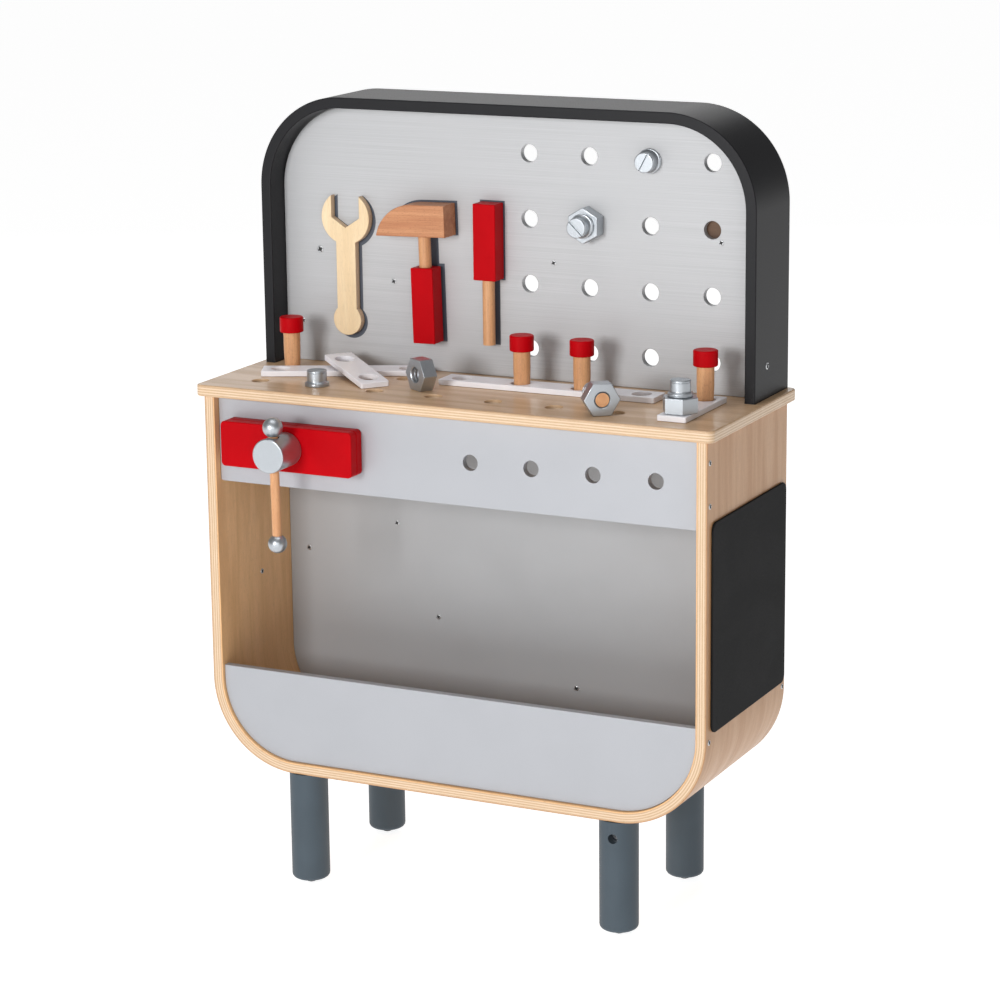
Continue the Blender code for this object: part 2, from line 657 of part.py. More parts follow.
def loose_nuts_and_bolts(bench, looks):
    """Nuts and bolts on the worktop, on the right-hand strip and on the pegboard."""
    column = PITCH * (WORKTOP_COLUMNS - 1) / 2
    quarter = math.radians(90)
    lying = WORKTOP_TOP + GAP + NUT_FLATS / 2

    spot = (-2.5 * PITCH, ROW_DEPTHS[0], WORKTOP_TOP + GAP)
    bolt("bolt_worktop", bench, looks, spot, (0, 0, 0), math.radians(-64))

    stack = STRIP_TOP + GAP
    off_centre = 0.001
    x, y = column + off_centre, ROW_DEPTHS[0] + off_centre
    nut("nut_on_strip", bench, looks, (x, y, stack + NUT_THICKNESS / 2), (0, 0, 0))
    on_top = (x, y, stack + NUT_THICKNESS + GAP)
    bolt("bolt_on_strip", bench, looks, on_top, (0, 0, 0), math.radians(100))

    turn = math.radians(-31)
    nut("nut_lying_left", bench, looks, (-0.0614, 0.0638, lying), (quarter, 0, turn))

    turn = math.radians(38)
    front = Vector((0.170, 0.0174))
    back = Vector((-math.sin(turn), math.cos(turn)))
    centre = front + back * (NUT_THICKNESS / 2)
    nut("nut_lying_right", bench, looks, (*centre, lying), (quarter, 0, turn))
    under_flange = front + back * (BOLT_SHANK_LENGTH + GAP)
    bolt("bolt_lying_right", bench, looks, (*under_flange, lying), (-quarter, 0, turn), 0.3)

    board = BOARD_FRONT - GAP
    first_x = BOARD_FIRST_COLUMN + BOLT_SAG[0]
    lowest_z = BOARD_LOWEST_ROW + BOLT_SAG[1]
    spot = (first_x + 2 * PITCH, board, lowest_z + 3 * PITCH)
    bolt("bolt_on_board", bench, looks, spot, (quarter, 0, 0), math.radians(-28))
    x, z = first_x + PITCH, lowest_z + 2 * PITCH
    nut("nut_on_board", bench, looks, (x, board - NUT_THICKNESS / 2, z), (quarter, 0, 0), 30)
    flange = (x, board - NUT_THICKNESS - GAP, z)
    bolt("bolt_in_board_nut", bench, looks, flange, (quarter, 0, 0), math.radians(46))


def loose_pegs(bench, looks):
    """One peg beside the left strip, two in the long strip and one in the right-hand strip."""
    steps = (-3.5, 0.5, 1.5, 3.5)
    for number, step in enumerate(steps, start=1):
        peg(number, step * PITCH, ROW_DEPTHS[1], bench, looks)


# ---------------------------------------------------------------- tools on the board


def wrench(bench, looks):
    back = BOARD_FRONT - GAP
    spot = (-0.1984, back, 0.7212)
    plate = place("wrench", prism(wrench_outline(), "Y", -WRENCH_THICKNESS, 0), looks["birch"], bench, spot)
    soften(plate, 0.0007)


def grip(name, parent, looks, x, y, top):
    """A square wooden handle with a blind hole in one end for the shaft."""
    half_width = GRIP_WIDTH / 2
    half_depth = GRIP_DEPTH / 2
    outline = rectangle(x - half_width, x + half_width, y - half_depth, y + half_depth)
    block = place(name, prism(outline, "Z", top - GRIP_LENGTH, top), looks["red"], parent)
    soften(block, 0.0009)
    return block


def hammer(bench, looks):
    """The head's back lies on the board. The shaft is glued into the head and the grip."""
    glued = 0.012
    middle = -HAMMER_HEAD_DEPTH / 2
    spot = (-0.0983, BOARD_FRONT - GAP, 0.7085)
    frame = group("hammer_place", bench, spot, (0, math.radians(-1.5), 0))
    blank = prism(hammer_head_outline(), "Y", -HAMMER_HEAD_DEPTH, 0)
    head = place("hammer_head", blank, looks["beech"], frame)
    soften(head, 0.0008)
    hole = TOOL_SHAFT_RADIUS + GAP
    cut(head, row_of_rods([(0, middle)], hole, "Z", -PLY, glued + GAP), "hammer_head")
    grip_top = -0.0345
    handle = grip("hammer_grip", frame, looks, 0, middle, grip_top)
    cut(handle, row_of_rods([(0, middle)], hole, "Z", grip_top - glued - GAP, PLY), "hammer_grip")
    shaft = rod(TOOL_SHAFT_RADIUS, grip_top - glued, glued)
    place("hammer_shaft", shaft, looks["beech"], frame, (0, middle, 0))


def screwdriver(bench, looks):
    """A grip with a dowel whose end is flattened into a blade."""
    glued = 0.012
    middle = -GRIP_DEPTH / 2
    grip_bottom = 0.6647
    frame = group("screwdriver_place", bench, (-0.0230, BOARD_FRONT - GAP, grip_bottom))
    handle = grip("screwdriver_grip", frame, looks, 0, middle, GRIP_LENGTH)
    hole = TOOL_SHAFT_RADIUS + GAP
    cut(handle, row_of_rods([(0, middle)], hole, "Z", -PLY, glued + GAP), "screwdriver_grip")
    tip = -0.071
    shaft = rod(TOOL_SHAFT_RADIUS, tip, glued)
    blade = place("screwdriver_shaft", shaft, looks["beech"], frame, (0, middle, 0))
    for name, side in (("front", -1), ("back", 1)):
        wedge_outline = [
            (middle + side * TOOL_SHAFT_RADIUS, tip + 0.022),
            (middle + side * 0.0030, tip - 0.004),
            (middle + side * 2 * TOOL_SHAFT_RADIUS, tip - 0.004),
            (middle + side * 2 * TOOL_SHAFT_RADIUS, tip + 0.022),
        ]
        wedge = prism(wedge_outline, "X", -2 * TOOL_SHAFT_RADIUS, 2 * TOOL_SHAFT_RADIUS)
        cut(blade, wedge, f"blade_{name}")


def main():
    for old in list(bpy.data.objects):
        bpy.data.objects.remove(old, do_unlink=True)
    looks = make_paints()
    bench = group("bench", None, (0, -OBJECT_MIDDLE, 0))
    cabinet(bench, looks)
    worktop(bench, looks)
    hood_and_board(bench, looks)
    chalkboard(bench, looks)
    legs(bench, looks)
    vice(bench, looks)
    loose_strips(bench, looks)
    loose_pegs(bench, looks)
    loose_nuts_and_bolts(bench, looks)
    wrench(bench, looks)
    hammer(bench, looks)
    screwdriver(bench, looks)


main()
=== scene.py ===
"""The looks of a child's toy workbench: finely rounded meshes and wood, paint and metal materials
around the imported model.

Lengths are metres, +Z is up and the bench faces -Y. Pieces take their places from the frame, except
the hammer and the screw heads, whose places are given here. Every finished mesh carries two
attributes for its material: "board" holds the coordinates along the grain, across it and down from
the board's face, and "edge" is 1 on rounded edges and 0 elsewhere.
"""

import json
import math

import bmesh
import bpy
from mathutils import Matrix, Vector
from mathutils.geometry import tessellate_polygon


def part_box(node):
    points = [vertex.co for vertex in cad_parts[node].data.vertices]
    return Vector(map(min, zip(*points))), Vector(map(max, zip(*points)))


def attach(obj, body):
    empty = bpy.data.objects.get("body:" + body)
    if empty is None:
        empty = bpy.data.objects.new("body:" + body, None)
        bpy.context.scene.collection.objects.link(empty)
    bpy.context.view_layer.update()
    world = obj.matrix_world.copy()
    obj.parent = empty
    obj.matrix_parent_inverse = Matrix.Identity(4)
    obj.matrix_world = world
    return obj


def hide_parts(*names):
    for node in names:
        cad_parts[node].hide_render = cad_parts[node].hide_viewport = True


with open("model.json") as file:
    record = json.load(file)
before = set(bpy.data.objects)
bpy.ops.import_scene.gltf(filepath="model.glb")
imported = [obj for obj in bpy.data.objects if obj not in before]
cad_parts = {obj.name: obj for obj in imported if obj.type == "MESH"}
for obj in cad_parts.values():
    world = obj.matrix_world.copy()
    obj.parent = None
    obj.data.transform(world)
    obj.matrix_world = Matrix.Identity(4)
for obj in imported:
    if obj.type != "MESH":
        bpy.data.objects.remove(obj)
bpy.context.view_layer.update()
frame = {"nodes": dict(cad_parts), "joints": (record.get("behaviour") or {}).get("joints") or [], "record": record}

GAP = 0.0003  # left between two pieces that touch

# Boards
PLY = 0.012  # thickness of the bent boards
WORKTOP_THICKNESS = 0.0127
WRENCH_THICKNESS = 0.009
NUT_BLOCK_THICKNESS = 0.0125
CORNER_RADIUS = 0.100  # outside radius of the bent corners
INNER_CORNER = CORNER_RADIUS - PLY - GAP
BOARD_CORNER = 0.091  # the pegboard's, which leaves a thin gap inside the hood's corners
CORNER_STEPS = 32
WORKTOP_CORNER = 0.008
APRON_CORNER = 0.003
CHALKBOARD_CORNER = 0.009
JAW_CORNER = 0.005
CLEAT_SLOPE = 0.045  # how far the cleat's slanted end runs along it
HOOD_RIDGES = 4  # ridges across the hood's edge, one for every two plies or so
HOOD_RELIEF = 0.00018

# The grid that the holes share
PITCH = 0.070
HOLE_RADIUS = 0.0095
APRON_HOLE_RADIUS = 0.0085
GRID = 4  # rows and columns of holes in the pegboard, and holes in the apron

# Turned pieces
LEG_RADIUS = 0.021
LEG_FOOT = 0.005  # radius of the edge round a leg's foot
LEG_BOLT_HOLE = 0.0033  # radius
LEG_BOLT_PAST_NUT = 0.022
BARREL_NUT_RADIUS = 0.0053
BARREL_NUT_BACK = -0.0073  # the cross hole's floor, from the leg's axis
GLIDE_PIN_HOLE = 0.0023  # radius
GLIDE_PIN_DEPTH = 0.010
HUB_RADIUS = 0.0185
HUB_FRONT = 0.011  # wood left in front of the hub's socket
BAR_RADIUS = 0.005
TOP_BALL_RADIUS = 0.0108
BOTTOM_BALL_RADIUS = 0.0102
BALL_HOLE = 0.0057  # from a ball's centre to the floor of the hole for the bar
VICE_SCREW_RADIUS = 0.008
VICE_LEAD = 0.006
PEG_RADIUS = 0.0092
PEG_TIP_RADIUS = 0.0076
PEG_TAPER = 0.048  # length of the tapered part
CAP_RADIUS = 0.013
CAP_GLUED = 0.0078
TOOL_SHAFT_RADIUS = 0.0067

# Construction pieces
STRIP_WIDTH = 0.032
STRIP_THICKNESS = 0.006
STRIP_HOLE_RADIUS = 0.0106
STRIP_END = 0.0205
NUT_FLATS = 0.0335
NUT_THICKNESS = 0.0165
NUT_BORE = 0.0081
FLANGE_RADIUS = 0.0131
FLANGE_HEIGHT = 0.0034
BOLT_HEAD_RADIUS = 0.0107
BOLT_HEAD_HEIGHT = 0.017
BOLT_SHANK_RADIUS = 0.0077
BOLT_SHANK_LENGTH = 0.028
BOLT_THREAD = 0.0045  # from one turn of the thread to the next
SLOT_DEPTH = 0.0025
SLOT_WIDTH = 0.0026

# Tools
WRENCH_RADIUS = 0.0295
WRENCH_JAW = 0.0342
WRENCH_SHANK = 0.024
WRENCH_END_RADIUS = 0.0172
WRENCH_END_DROP = 0.113
WRENCH_JAW_FLOOR = -0.011
GRIP_WIDTH = 0.0265
GRIP_DEPTH = 0.0215
GRIP_LENGTH = 0.0825
HAMMER_HEAD_DEPTH = 0.028
HAMMER_HEAD_HEIGHT = 0.0344
HAMMER_CLAW_TIP = -0.0521
HAMMER_CLAW_TOP = -0.0091
HAMMER_FACE = 0.0314
HAMMER_GRIP_TOP = -0.0345  # from the head's underside
HAMMER_TILT = math.radians(-1.5)
HAMMER_PLACE = (-0.0983, 0.7085)
DRIVER_WEDGE = 0.022  # length of the screwdriver's wedge-shaped tip
GLUED = 0.012  # how deep a tool's shaft goes into its grip or head
PRINT_MARGIN = 0.0016  # how far a tool's printed outline reaches past the tool

# Screw heads
SCREW_RADIUS = 0.0030
SCREW_STAND = 0.0006
SCREW_FLOOR = 0.0001
RECESS_RADIUS = 0.0016
RECESS_ARM = 0.0023
RECESS_ARM_WIDTH = 0.0012
LARGE_SCREW = 1.35
HOOD_SCREW = 1.3

# Camera
CAMERA_AIM = Vector((0.06126, -0.08725, 0.46303))
CAMERA_DISTANCE = 3.22598
CAMERA_AZIMUTH = math.radians(26.21)
CAMERA_ELEVATION = math.radians(13.76)
CAMERA_ROLL = math.radians(-0.64)
CAMERA_LENS = 112.23

LIGHT_AIM = (0, 0, 0.5)

bodies = frame["record"]["behaviour"]["bodies"]
body_of = {node: body for body, nodes in bodies.items() for node in nodes}
slot_of = {row["node"]: row["material_slot"] for row in frame["record"]["subparts"]}
joints = {joint["name"]: joint for joint in frame["joints"]}


# ---------------------------------------------------------------- places


def middle(node):
    low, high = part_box(node)
    return (low + high) / 2


def opening(name):
    """The middle of a hole named in the record."""
    rows = frame["record"]["physics"]["openings"]
    low, high = next(row["box_m"] for row in rows if row["name"] == name)
    return (Vector(low) + Vector(high)) / 2


def grid_row(first, count):
    """Coordinates at the pitch from the first one."""
    return [first + PITCH * i for i in range(count)]


# ---------------------------------------------------------------- outlines, counterclockwise


def arc(centre_a, centre_b, radius, start, end, steps):
    """Points on a circle from the start angle to the end angle, in degrees, both ends included."""
    angles = [math.radians(start + (end - start) * i / steps) for i in range(steps + 1)]
    return [(centre_a + radius * math.cos(a), centre_b + radius * math.sin(a)) for a in angles]


def circle(centre_a, centre_b, radius, segments=48):
    return arc(centre_a, centre_b, radius, 0, 360 - 360 / segments, segments - 1)


def rectangle(left, right, bottom, top, radius=0.0, steps=8):
    """A rectangle, with round corners if a radius is given."""
    if not radius:
        return [(left, bottom), (right, bottom), (right, top), (left, top)]
    return (
        arc(left + radius, bottom + radius, radius, 180, 270, steps)
        + arc(right - radius, bottom + radius, radius, 270, 360, steps)
        + arc(right - radius, top - radius, radius, 0, 90, steps)
        + arc(left + radius, top - radius, radius, 90, 180, steps)
    )


def arch(left, right, foot, crown, radius):
    """A board with two round corners at its crown, upright or upside down."""
    side = 1 if crown > foot else -1
    centre = crown - side * radius
    outline = [(left, foot)]
    outline += arc(left + radius, centre, radius, 180, 180 - side * 90, CORNER_STEPS)
    outline += arc(right - radius, centre, radius, side * 90, 0, CORNER_STEPS)
    outline.append((right, foot))
    return outline if side < 0 else outline[::-1]


def hexagon(flats, turn=0.0):
    """A regular hexagon by its width across flats, its corners turned by some degrees."""
    return arc(0, 0, flats / math.sqrt(3), turn, turn + 300, 5)


def wrench_outline():
    """An open-ended spanner around its jaw's centre, symmetrical about the vertical."""
    jaw = WRENCH_JAW / 2
    shank = WRENCH_SHANK / 2
    tip = math.degrees(math.acos(jaw / WRENCH_RADIUS))
    neck = math.degrees(math.acos(shank / WRENCH_RADIUS))
    end = math.degrees(math.acos(shank / WRENCH_END_RADIUS))
    right = [(jaw, 0.0)]
    right += arc(0, 0, WRENCH_RADIUS, tip, -neck, 32)
    right += arc(0, -WRENCH_END_DROP, WRENCH_END_RADIUS, end, -90, 24)
    left = [(-x, z) for x, z in reversed(right[:-1])]
    return ([(0.0, WRENCH_JAW_FLOOR)] + right + left)[::-1]


def hammer_head_outline():
    """The head around the shaft's axis at the head's underside: a curved claw side and a flat face."""
    run = HAMMER_CLAW_TOP - HAMMER_CLAW_TIP
    radius = (run**2 + HAMMER_HEAD_HEIGHT**2) / (2 * HAMMER_HEAD_HEIGHT)
    sweep = math.degrees(math.asin(run / radius))
    curve = arc(HAMMER_CLAW_TOP, HAMMER_HEAD_HEIGHT - radius, radius, 90, 90 + sweep, 28)
    return curve + [(HAMMER_FACE, 0.0), (HAMMER_FACE, HAMMER_HEAD_HEIGHT)]


def inset(outline, distance):
    """A counterclockwise outline moved inwards everywhere by a distance."""
    count = len(outline)
    result = []
    for i, point in enumerate(outline):
        here = Vector(point)
        before = (here - Vector(outline[i - 1])).normalized()
        after = (Vector(outline[(i + 1) % count]) - here).normalized()
        inwards = Vector((-before.y - after.y, before.x + after.x))
        result.append(here + inwards * (distance / (1 + before.dot(after))))
    return result


# ---------------------------------------------------------------- meshes


def skin(mesh, rings):
    """Faces between rings of vertices, each ring round the piece."""
    for lower, upper in zip(rings, rings[1:]):
        for i in range(len(lower)):
            mesh.faces.new((lower[i - 1], lower[i], upper[i], upper[i - 1]))


def add_ring(mesh, points, wear=0.0):
    layer = mesh.verts.layers.float.get("edge") or mesh.verts.layers.float.new("edge")
    ring = [mesh.verts.new(point) for point in points]
    for vert in ring:
        vert[layer] = wear
    return ring


def wall(outline, low, high, edge, steps=3):
    """Rings of points, each with its wear, up the side of a board with rounded edges."""
    lower = []
    for i in range(steps + 1):
        angle = math.radians(90 * i / steps)
        rise = edge * (1 - math.cos(angle))
        ring = inset(outline, edge * (1 - math.sin(angle)))
        lower.append(([(a, b, low + rise) for a, b in ring], math.sin(2 * angle)))
    upper = [([(a, b, low + high - c) for a, b, c in ring], wear) for ring, wear in lower[::-1]]
    return lower + upper


def slab(outline, low, high, edge, holes=(), hole_edge=None, walls=()):
    """A board from its outline and its holes' outlines, its edges rounded. Ready walls of holes can
    be added."""
    mesh = bmesh.new()
    every_wall = [wall(outline, low, high, edge)]
    for hole in holes:
        every_wall.append(wall(hole[::-1], low, high, hole_edge or edge))
    ends = ([], [])
    for rings in every_wall + list(walls):
        made = [add_ring(mesh, points, wear) for points, wear in rings]
        skin(mesh, made)
        ends[0].append(made[0])
        ends[1].append(made[-1])
    for loops in ends:
        flat = [vert for loop in loops for vert in loop]
        for triangle in tessellate_polygon([[vert.co for vert in loop] for loop in loops]):
            mesh.faces.new([flat[i] for i in triangle])
    bmesh.ops.recalc_face_normals(mesh, faces=mesh.faces)
    return mesh


def facing(mesh, axis):
    """The mesh with its own Z turned to lie along an axis, and its other two in order."""
    order = {"X": (2, 0, 1), "Y": (0, 2, 1), "Z": (0, 1, 2)}[axis]
    for vert in mesh.verts:
        vert.co = [vert.co[i] for i in order]
    bmesh.ops.recalc_face_normals(mesh, faces=mesh.faces)
    return mesh


def thread(radius, depth, pitch, low, high, segments=48, rows=8):
    """Rings up a round screw thread that fades out at both ends. A negative depth cuts it into a
    bore's wall."""
    count = max(2, round((high - low) / pitch * rows))
    rings = []
    for i in range(count + 1):
        height = low + (high - low) * i / count
        fade = min(1.0, (height - low) / pitch, (high - height) / pitch)
        ring = []
        for j in range(segments):
            groove = 0.5 - 0.5 * math.cos(2 * math.pi * (height / pitch - j / segments))
            reach = radius - depth * fade * groove
            angle = 2 * math.pi * j / segments
            ring.append((reach * math.cos(angle), reach * math.sin(angle), height))
        rings.append(ring)
    return rings


def turned(profile, segments=48):
    """A mesh turned about Z from (radius, height) points and ready rings, with flat ends."""
    mesh = bmesh.new()
    rings = []
    for item in profile:
        if isinstance(item, list):
            points = item
        else:
            points = [(a, b, item[1]) for a, b in circle(0, 0, item[0], segments)]
        rings.append(add_ring(mesh, points))
    skin(mesh, rings)
    mesh.faces.new(rings[0])
    mesh.faces.new(rings[-1])
    bmesh.ops.recalc_face_normals(mesh, faces=mesh.faces)
    return mesh


def rounded(radius, height, edge, side=1, steps=4):
    """Profile points round an outer edge: up onto a top for side 1, out from an underside for -1."""
    quarter = arc(radius - edge, 0, edge, 0, 90, steps)
    points = [(r, height - side * (edge - rise)) for r, rise in quarter]
    return points if side > 0 else points[::-1]


def mesh_data(name, mesh):
    """Mesh data made from a working mesh, which is used up."""
    data = bpy.data.meshes.new(name)
    mesh.to_mesh(data)
    mesh.free()
    return data


def added(name, data, place=(0, 0, 0), turn=(0, 0, 0)):
    """A new object in the scene."""
    result = bpy.data.objects.new(name, data)
    result.location = place
    result.rotation_euler = turn
    bpy.context.scene.collection.objects.link(result)
    return result


def carved(mesh, *cutters):
    """The mesh with closed cutter meshes taken out of it."""
    made = [added("raw", mesh_data("raw", source)) for source in (mesh, *cutters)]
    for cutter in made[1:]:
        boolean = made[0].modifiers.new("cut", "BOOLEAN")
        boolean.operation = "DIFFERENCE"
        boolean.solver = "EXACT"
        boolean.object = cutter
    result = bmesh.new()
    result.from_object(made[0], bpy.context.evaluated_depsgraph_get())
    for item in made:
        bpy.data.objects.remove(item, do_unlink=True)
    return result


def rod_cutter(radius, low, high, matrix):
    mesh = turned([(radius, low), (radius, high)])
    mesh.transform(matrix)
    return mesh


def bent_board(box, foot, crown, section):
    """A board bent round two corners. The section's points are (depth below the outer face, y)."""
    half = box[1].x
    side = 1 if crown > foot else -1
    stations = [((-half, foot), (1, 0))]
    for centre_x, first in ((CORNER_RADIUS - half, 180), (half - CORNER_RADIUS, 90)):
        for out_x, out_z in arc(0, 0, 1, first, first - 90, CORNER_STEPS):
            z = crown - side * CORNER_RADIUS * (1 - out_z)
            stations.append(((centre_x + out_x * CORNER_RADIUS, z), (-out_x, -side * out_z)))
    stations.append(((half, foot), (-1, 0)))
    mesh = bmesh.new()
    rings = []
    for (x, z), (in_x, in_z) in stations:
        points = [(x + in_x * depth, y, z + in_z * depth) for depth, y in section]
        rings.append(add_ring(mesh, points))
    skin(mesh, rings)
    mesh.faces.new(rings[0])
    mesh.faces.new(rings[-1])
    bmesh.ops.recalc_face_normals(mesh, faces=mesh.faces)
    return mesh


def unbent(box, foot, crown):
    """A rule from a point on a bent board to its coordinates before it was bent."""
    half = box[1].x
    side = 1 if crown > foot else -1
    straight = abs(crown - foot) - CORNER_RADIUS
    bend = CORNER_RADIUS * math.pi / 2
    flat = half - CORNER_RADIUS

    def rule(point):
        out = abs(point.x) - flat
        rise = side * (point.z - foot) - straight
        if rise <= 0:
            along, depth = straight + rise, half - abs(point.x)
        elif out <= 0:
            along, depth = straight + bend - out, side * (crown - point.z)
        else:
            angle = math.atan2(rise, out)
            along, depth = straight + CORNER_RADIUS * angle, CORNER_RADIUS - math.hypot(out, rise)
        if point.x > 0:
            along = 2 * (straight + bend + flat) - along
        return along, point.y, depth

    return rule


def finished(node, mesh, look, place=(0, 0, 0), turn=(0, 0, 0), grain="XYZ", rule=None):
    """The finished mesh of a CAD node. The grain names its own axes along and across the grain and
    down through the board, unless a rule gives those coordinates."""
    data = mesh_data(f"finished_{node}", mesh)
    data.materials.append(look)
    data.shade_smooth()
    data.set_sharp_from_angle(angle=math.radians(38))
    axes = ["XYZ".index(letter) for letter in grain]
    lowest = min((vert.co[axes[2]] for vert in data.vertices), default=0.0)
    shift = 0.137 * len(bpy.data.meshes)
    board = data.attributes.new("board", "FLOAT_VECTOR", "POINT")
    for i, vert in enumerate(data.vertices):
        along, across, depth = rule(vert.co) if rule else [vert.co[axis] for axis in axes]
        depth -= 0 if rule else lowest
        board.data[i].vector = (along + shift, across + shift, depth)
    piece = added(f"finished_{node}", data, place, turn)
    normals = piece.modifiers.new("flat faces stay flat", "WEIGHTED_NORMAL")
    normals.keep_sharp = True
    if node in slot_of:
        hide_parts(node)
    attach(piece, body_of.get(node, "bench"))
    return piece


# ---------------------------------------------------------------- materials


def tone(red, green, blue):
    """A linear colour from 0-255 display values."""
    values = [value / 255 for value in (red, green, blue)]
    linear = [v / 12.92 if v <= 0.04045 else ((v + 0.055) / 1.055) ** 2.4 for v in values]
    return (*linear, 1.0)


def scaled(colour, factor):
    """A colour made darker or lighter by a factor."""
    return [min(1.0, c * factor) for c in colour[:3]] + [1.0]


class Look:
    """A Principled material and short ways to add nodes to it."""

    def __init__(self, name, **fixed):
        self.material = bpy.data.materials.new(name)
        self.material.use_nodes = True
        self.tree = self.material.node_tree
        self.shader = self.tree.nodes["Principled BSDF"]
        for socket, value in fixed.items():
            label = socket.replace("_", " ").title().replace("Ior", "IOR")
            self.shader.inputs[label].default_value = value
        reader = self.tree.nodes.new("ShaderNodeAttribute")
        reader.attribute_name = "board"
        self.board = reader.outputs["Vector"]
        self.depth = self.node("SeparateXYZ", {0: self.board}, output=2)
        edges = self.tree.nodes.new("ShaderNodeAttribute")
        edges.attribute_name = "edge"
        self.edge = edges.outputs["Fac"]

    def node(self, kind, inputs, output=0, **settings):
        made = self.tree.nodes.new("ShaderNode" + kind)
        for name, value in settings.items():
            setattr(made, name, value)
        for key, value in inputs.items():
            self.feed(made.inputs[key], value)
        return made.outputs[output]

    def feed(self, socket, value):
        if isinstance(value, bpy.types.NodeSocket):
            self.tree.links.new(value, socket)
        else:
            socket.default_value = value

    def at(self, along, across, through):
        """The board coordinates, each scaled by its own number."""
        scales = (along, across, through)
        return self.node("VectorMath", {0: self.board, 1: scales}, operation="MULTIPLY")

    def noise(self, vector, detail=2.0, distortion=0.0):
        inputs = {"Vector": vector, "Scale": 1.0, "Detail": detail, "Distortion": distortion}
        return self.node("TexNoise", inputs)

    def span(self, value, low, high, to_low=0.0, to_high=1.0):
        inputs = {0: value, 1: low, 2: high, 3: to_low, 4: to_high}
        return self.node("MapRange", inputs, interpolation_type="SMOOTHSTEP")

    def maths(self, operation, a, b=0.0):
        return self.node("Math", {0: a, 1: b}, operation=operation)

    def mix(self, factor, a, b):
        return self.node("Mix", {0: factor, 6: a, 7: b}, output=2, data_type="RGBA")

    def bump(self, height, distance, strength=1.0, below=None):
        inputs = {"Height": height, "Distance": distance, "Strength": strength}
        if below:
            inputs["Normal"] = below
        return self.node("Bump", inputs)

    def finish(self, colour, roughness, normal):
        self.feed(self.shader.inputs["Base Color"], colour)
        self.feed(self.shader.inputs["Roughness"], roughness)
        self.feed(self.shader.inputs["Normal"], normal)
        return self.material


def birch_ply(name, thickness, light, dark, roughness, plies=9, gloss=0.12, painted_back_light=None):
    """Clear-varnished birch plywood: a rotary-cut face, and plies in turn along and across the
    grain on its edges. The veneer on the back is the face's colour times a tint of painted light, which lightens
    it as if more light fell there."""
    look = Look(name, coat_weight=gloss, coat_roughness=0.16)
    drift = look.noise(look.at(3, 12, 0), detail=3)
    warped = look.node("VectorMath", {0: look.at(5, 55, 0), 1: drift}, operation="ADD")
    figure = look.noise(warped, detail=4, distortion=0.6)
    fibres = look.noise(look.at(45, 2200, 0), detail=2)
    pores = look.noise(look.at(160, 3800, 0), detail=0)
    face = look.mix(look.span(figure, 0.34, 0.66), light, dark)
    shade = look.maths("MULTIPLY", look.span(fibres, 0.35, 0.68), 0.35)
    face = look.mix(shade, face, scaled(dark, 0.72))
    face = look.mix(look.span(pores, 0.66, 0.74, 0, 0.35), face, scaled(dark, 0.5))
    # painted light: the back face is lightened by the tint, standing in for light falling on it
    if painted_back_light:
        at_back = look.span(look.depth, 0.4 * thickness, 0.6 * thickness)
        inputs = {0: at_back, 6: face, 7: painted_back_light}
        face = look.node("Mix", inputs, output=2, data_type="RGBA", blend_type="MULTIPLY")

    ply = thickness / plies
    shifted = look.maths("ADD", look.depth, ply / 2)
    wave = look.maths("DIVIDE", look.maths("PINGPONG", shifted, ply), ply)
    with_grain = look.span(wave, 0.40, 0.60)
    streaks = look.noise(look.at(60, 60, 2600), detail=2)
    speckle = look.noise(look.at(1500, 1500, 1500), detail=1)
    long_ply = look.mix(look.span(streaks, 0.3, 0.7), tone(226, 202, 174), tone(214, 186, 152))
    end_ply = look.mix(look.span(speckle, 0.3, 0.7), tone(206, 174, 140), tone(190, 155, 120))
    edge = look.mix(with_grain, end_ply, long_ply)
    below = look.span(look.depth, 0.85 * ply, 1.05 * ply)
    above = look.span(look.depth, thickness - 1.05 * ply, thickness - 0.85 * ply, 1, 0)
    colour = look.mix(look.maths("MULTIPLY", below, above), face, edge)

    rough = look.span(figure, 0.3, 0.7, roughness - 0.05, roughness + 0.07)
    ridges = look.bump(with_grain, 0.00006, 0.35)
    return look.finish(colour, rough, look.bump(fibres, 0.00004, 0.5, ridges))


def solid_wood(name, light, dark, roughness):
    """Bare beech: straight soft rings, fine fibres and short dark flecks."""
    look = Look(name)
    rings = look.noise(look.at(5, 110, 110), detail=3, distortion=0.4)
    fibres = look.noise(look.at(35, 1700, 1700), detail=2)
    flecks = look.noise(look.at(330, 2300, 2300), detail=0)
    colour = look.mix(look.span(rings, 0.3, 0.7), light, dark)
    darker = scaled(dark, 0.62)
    colour = look.mix(look.span(fibres, 0.35, 0.75, 0, 0.4), colour, darker)
    colour = look.mix(look.span(flecks, 0.64, 0.72, 0, 0.5), colour, darker)
    rough = look.span(fibres, 0.3, 0.7, roughness - 0.06, roughness + 0.06)
    return look.finish(colour, rough, look.bump(fibres, 0.00005, 0.6))


def painted_wood(name, colour, roughness, grain=0.3, wear=0.25, sheen=0.5):
    """Sprayed paint through which the wood's grain shows faintly, thin along the edges."""
    look = Look(name, specular_ior_level=sheen)
    pores = look.noise(look.at(14, 620, 620), detail=3)
    clouds = look.noise(look.at(22, 22, 22), detail=2)
    sprayed = look.noise(look.at(900, 900, 900), detail=2)
    darker = scaled(colour, 0.82)
    lighter = [c * 0.7 + 0.3 * max(colour[:3]) for c in colour[:3]] + [1.0]
    body = look.mix(look.span(clouds, 0.3, 0.7, 0, 0.5), colour, darker)
    body = look.mix(look.span(pores, 0.5, 0.8, 0, grain), body, darker)
    rubbed = look.maths("MULTIPLY", look.edge, look.span(clouds, 0.35, 0.65, wear * 0.3, wear))
    body = look.mix(rubbed, body, lighter)
    rough = look.span(sprayed, 0.3, 0.7, roughness - 0.05, roughness + 0.05)
    spray = look.bump(sprayed, 0.00003, 0.5)
    return look.finish(body, rough, look.bump(pores, 0.00005, grain, spray))


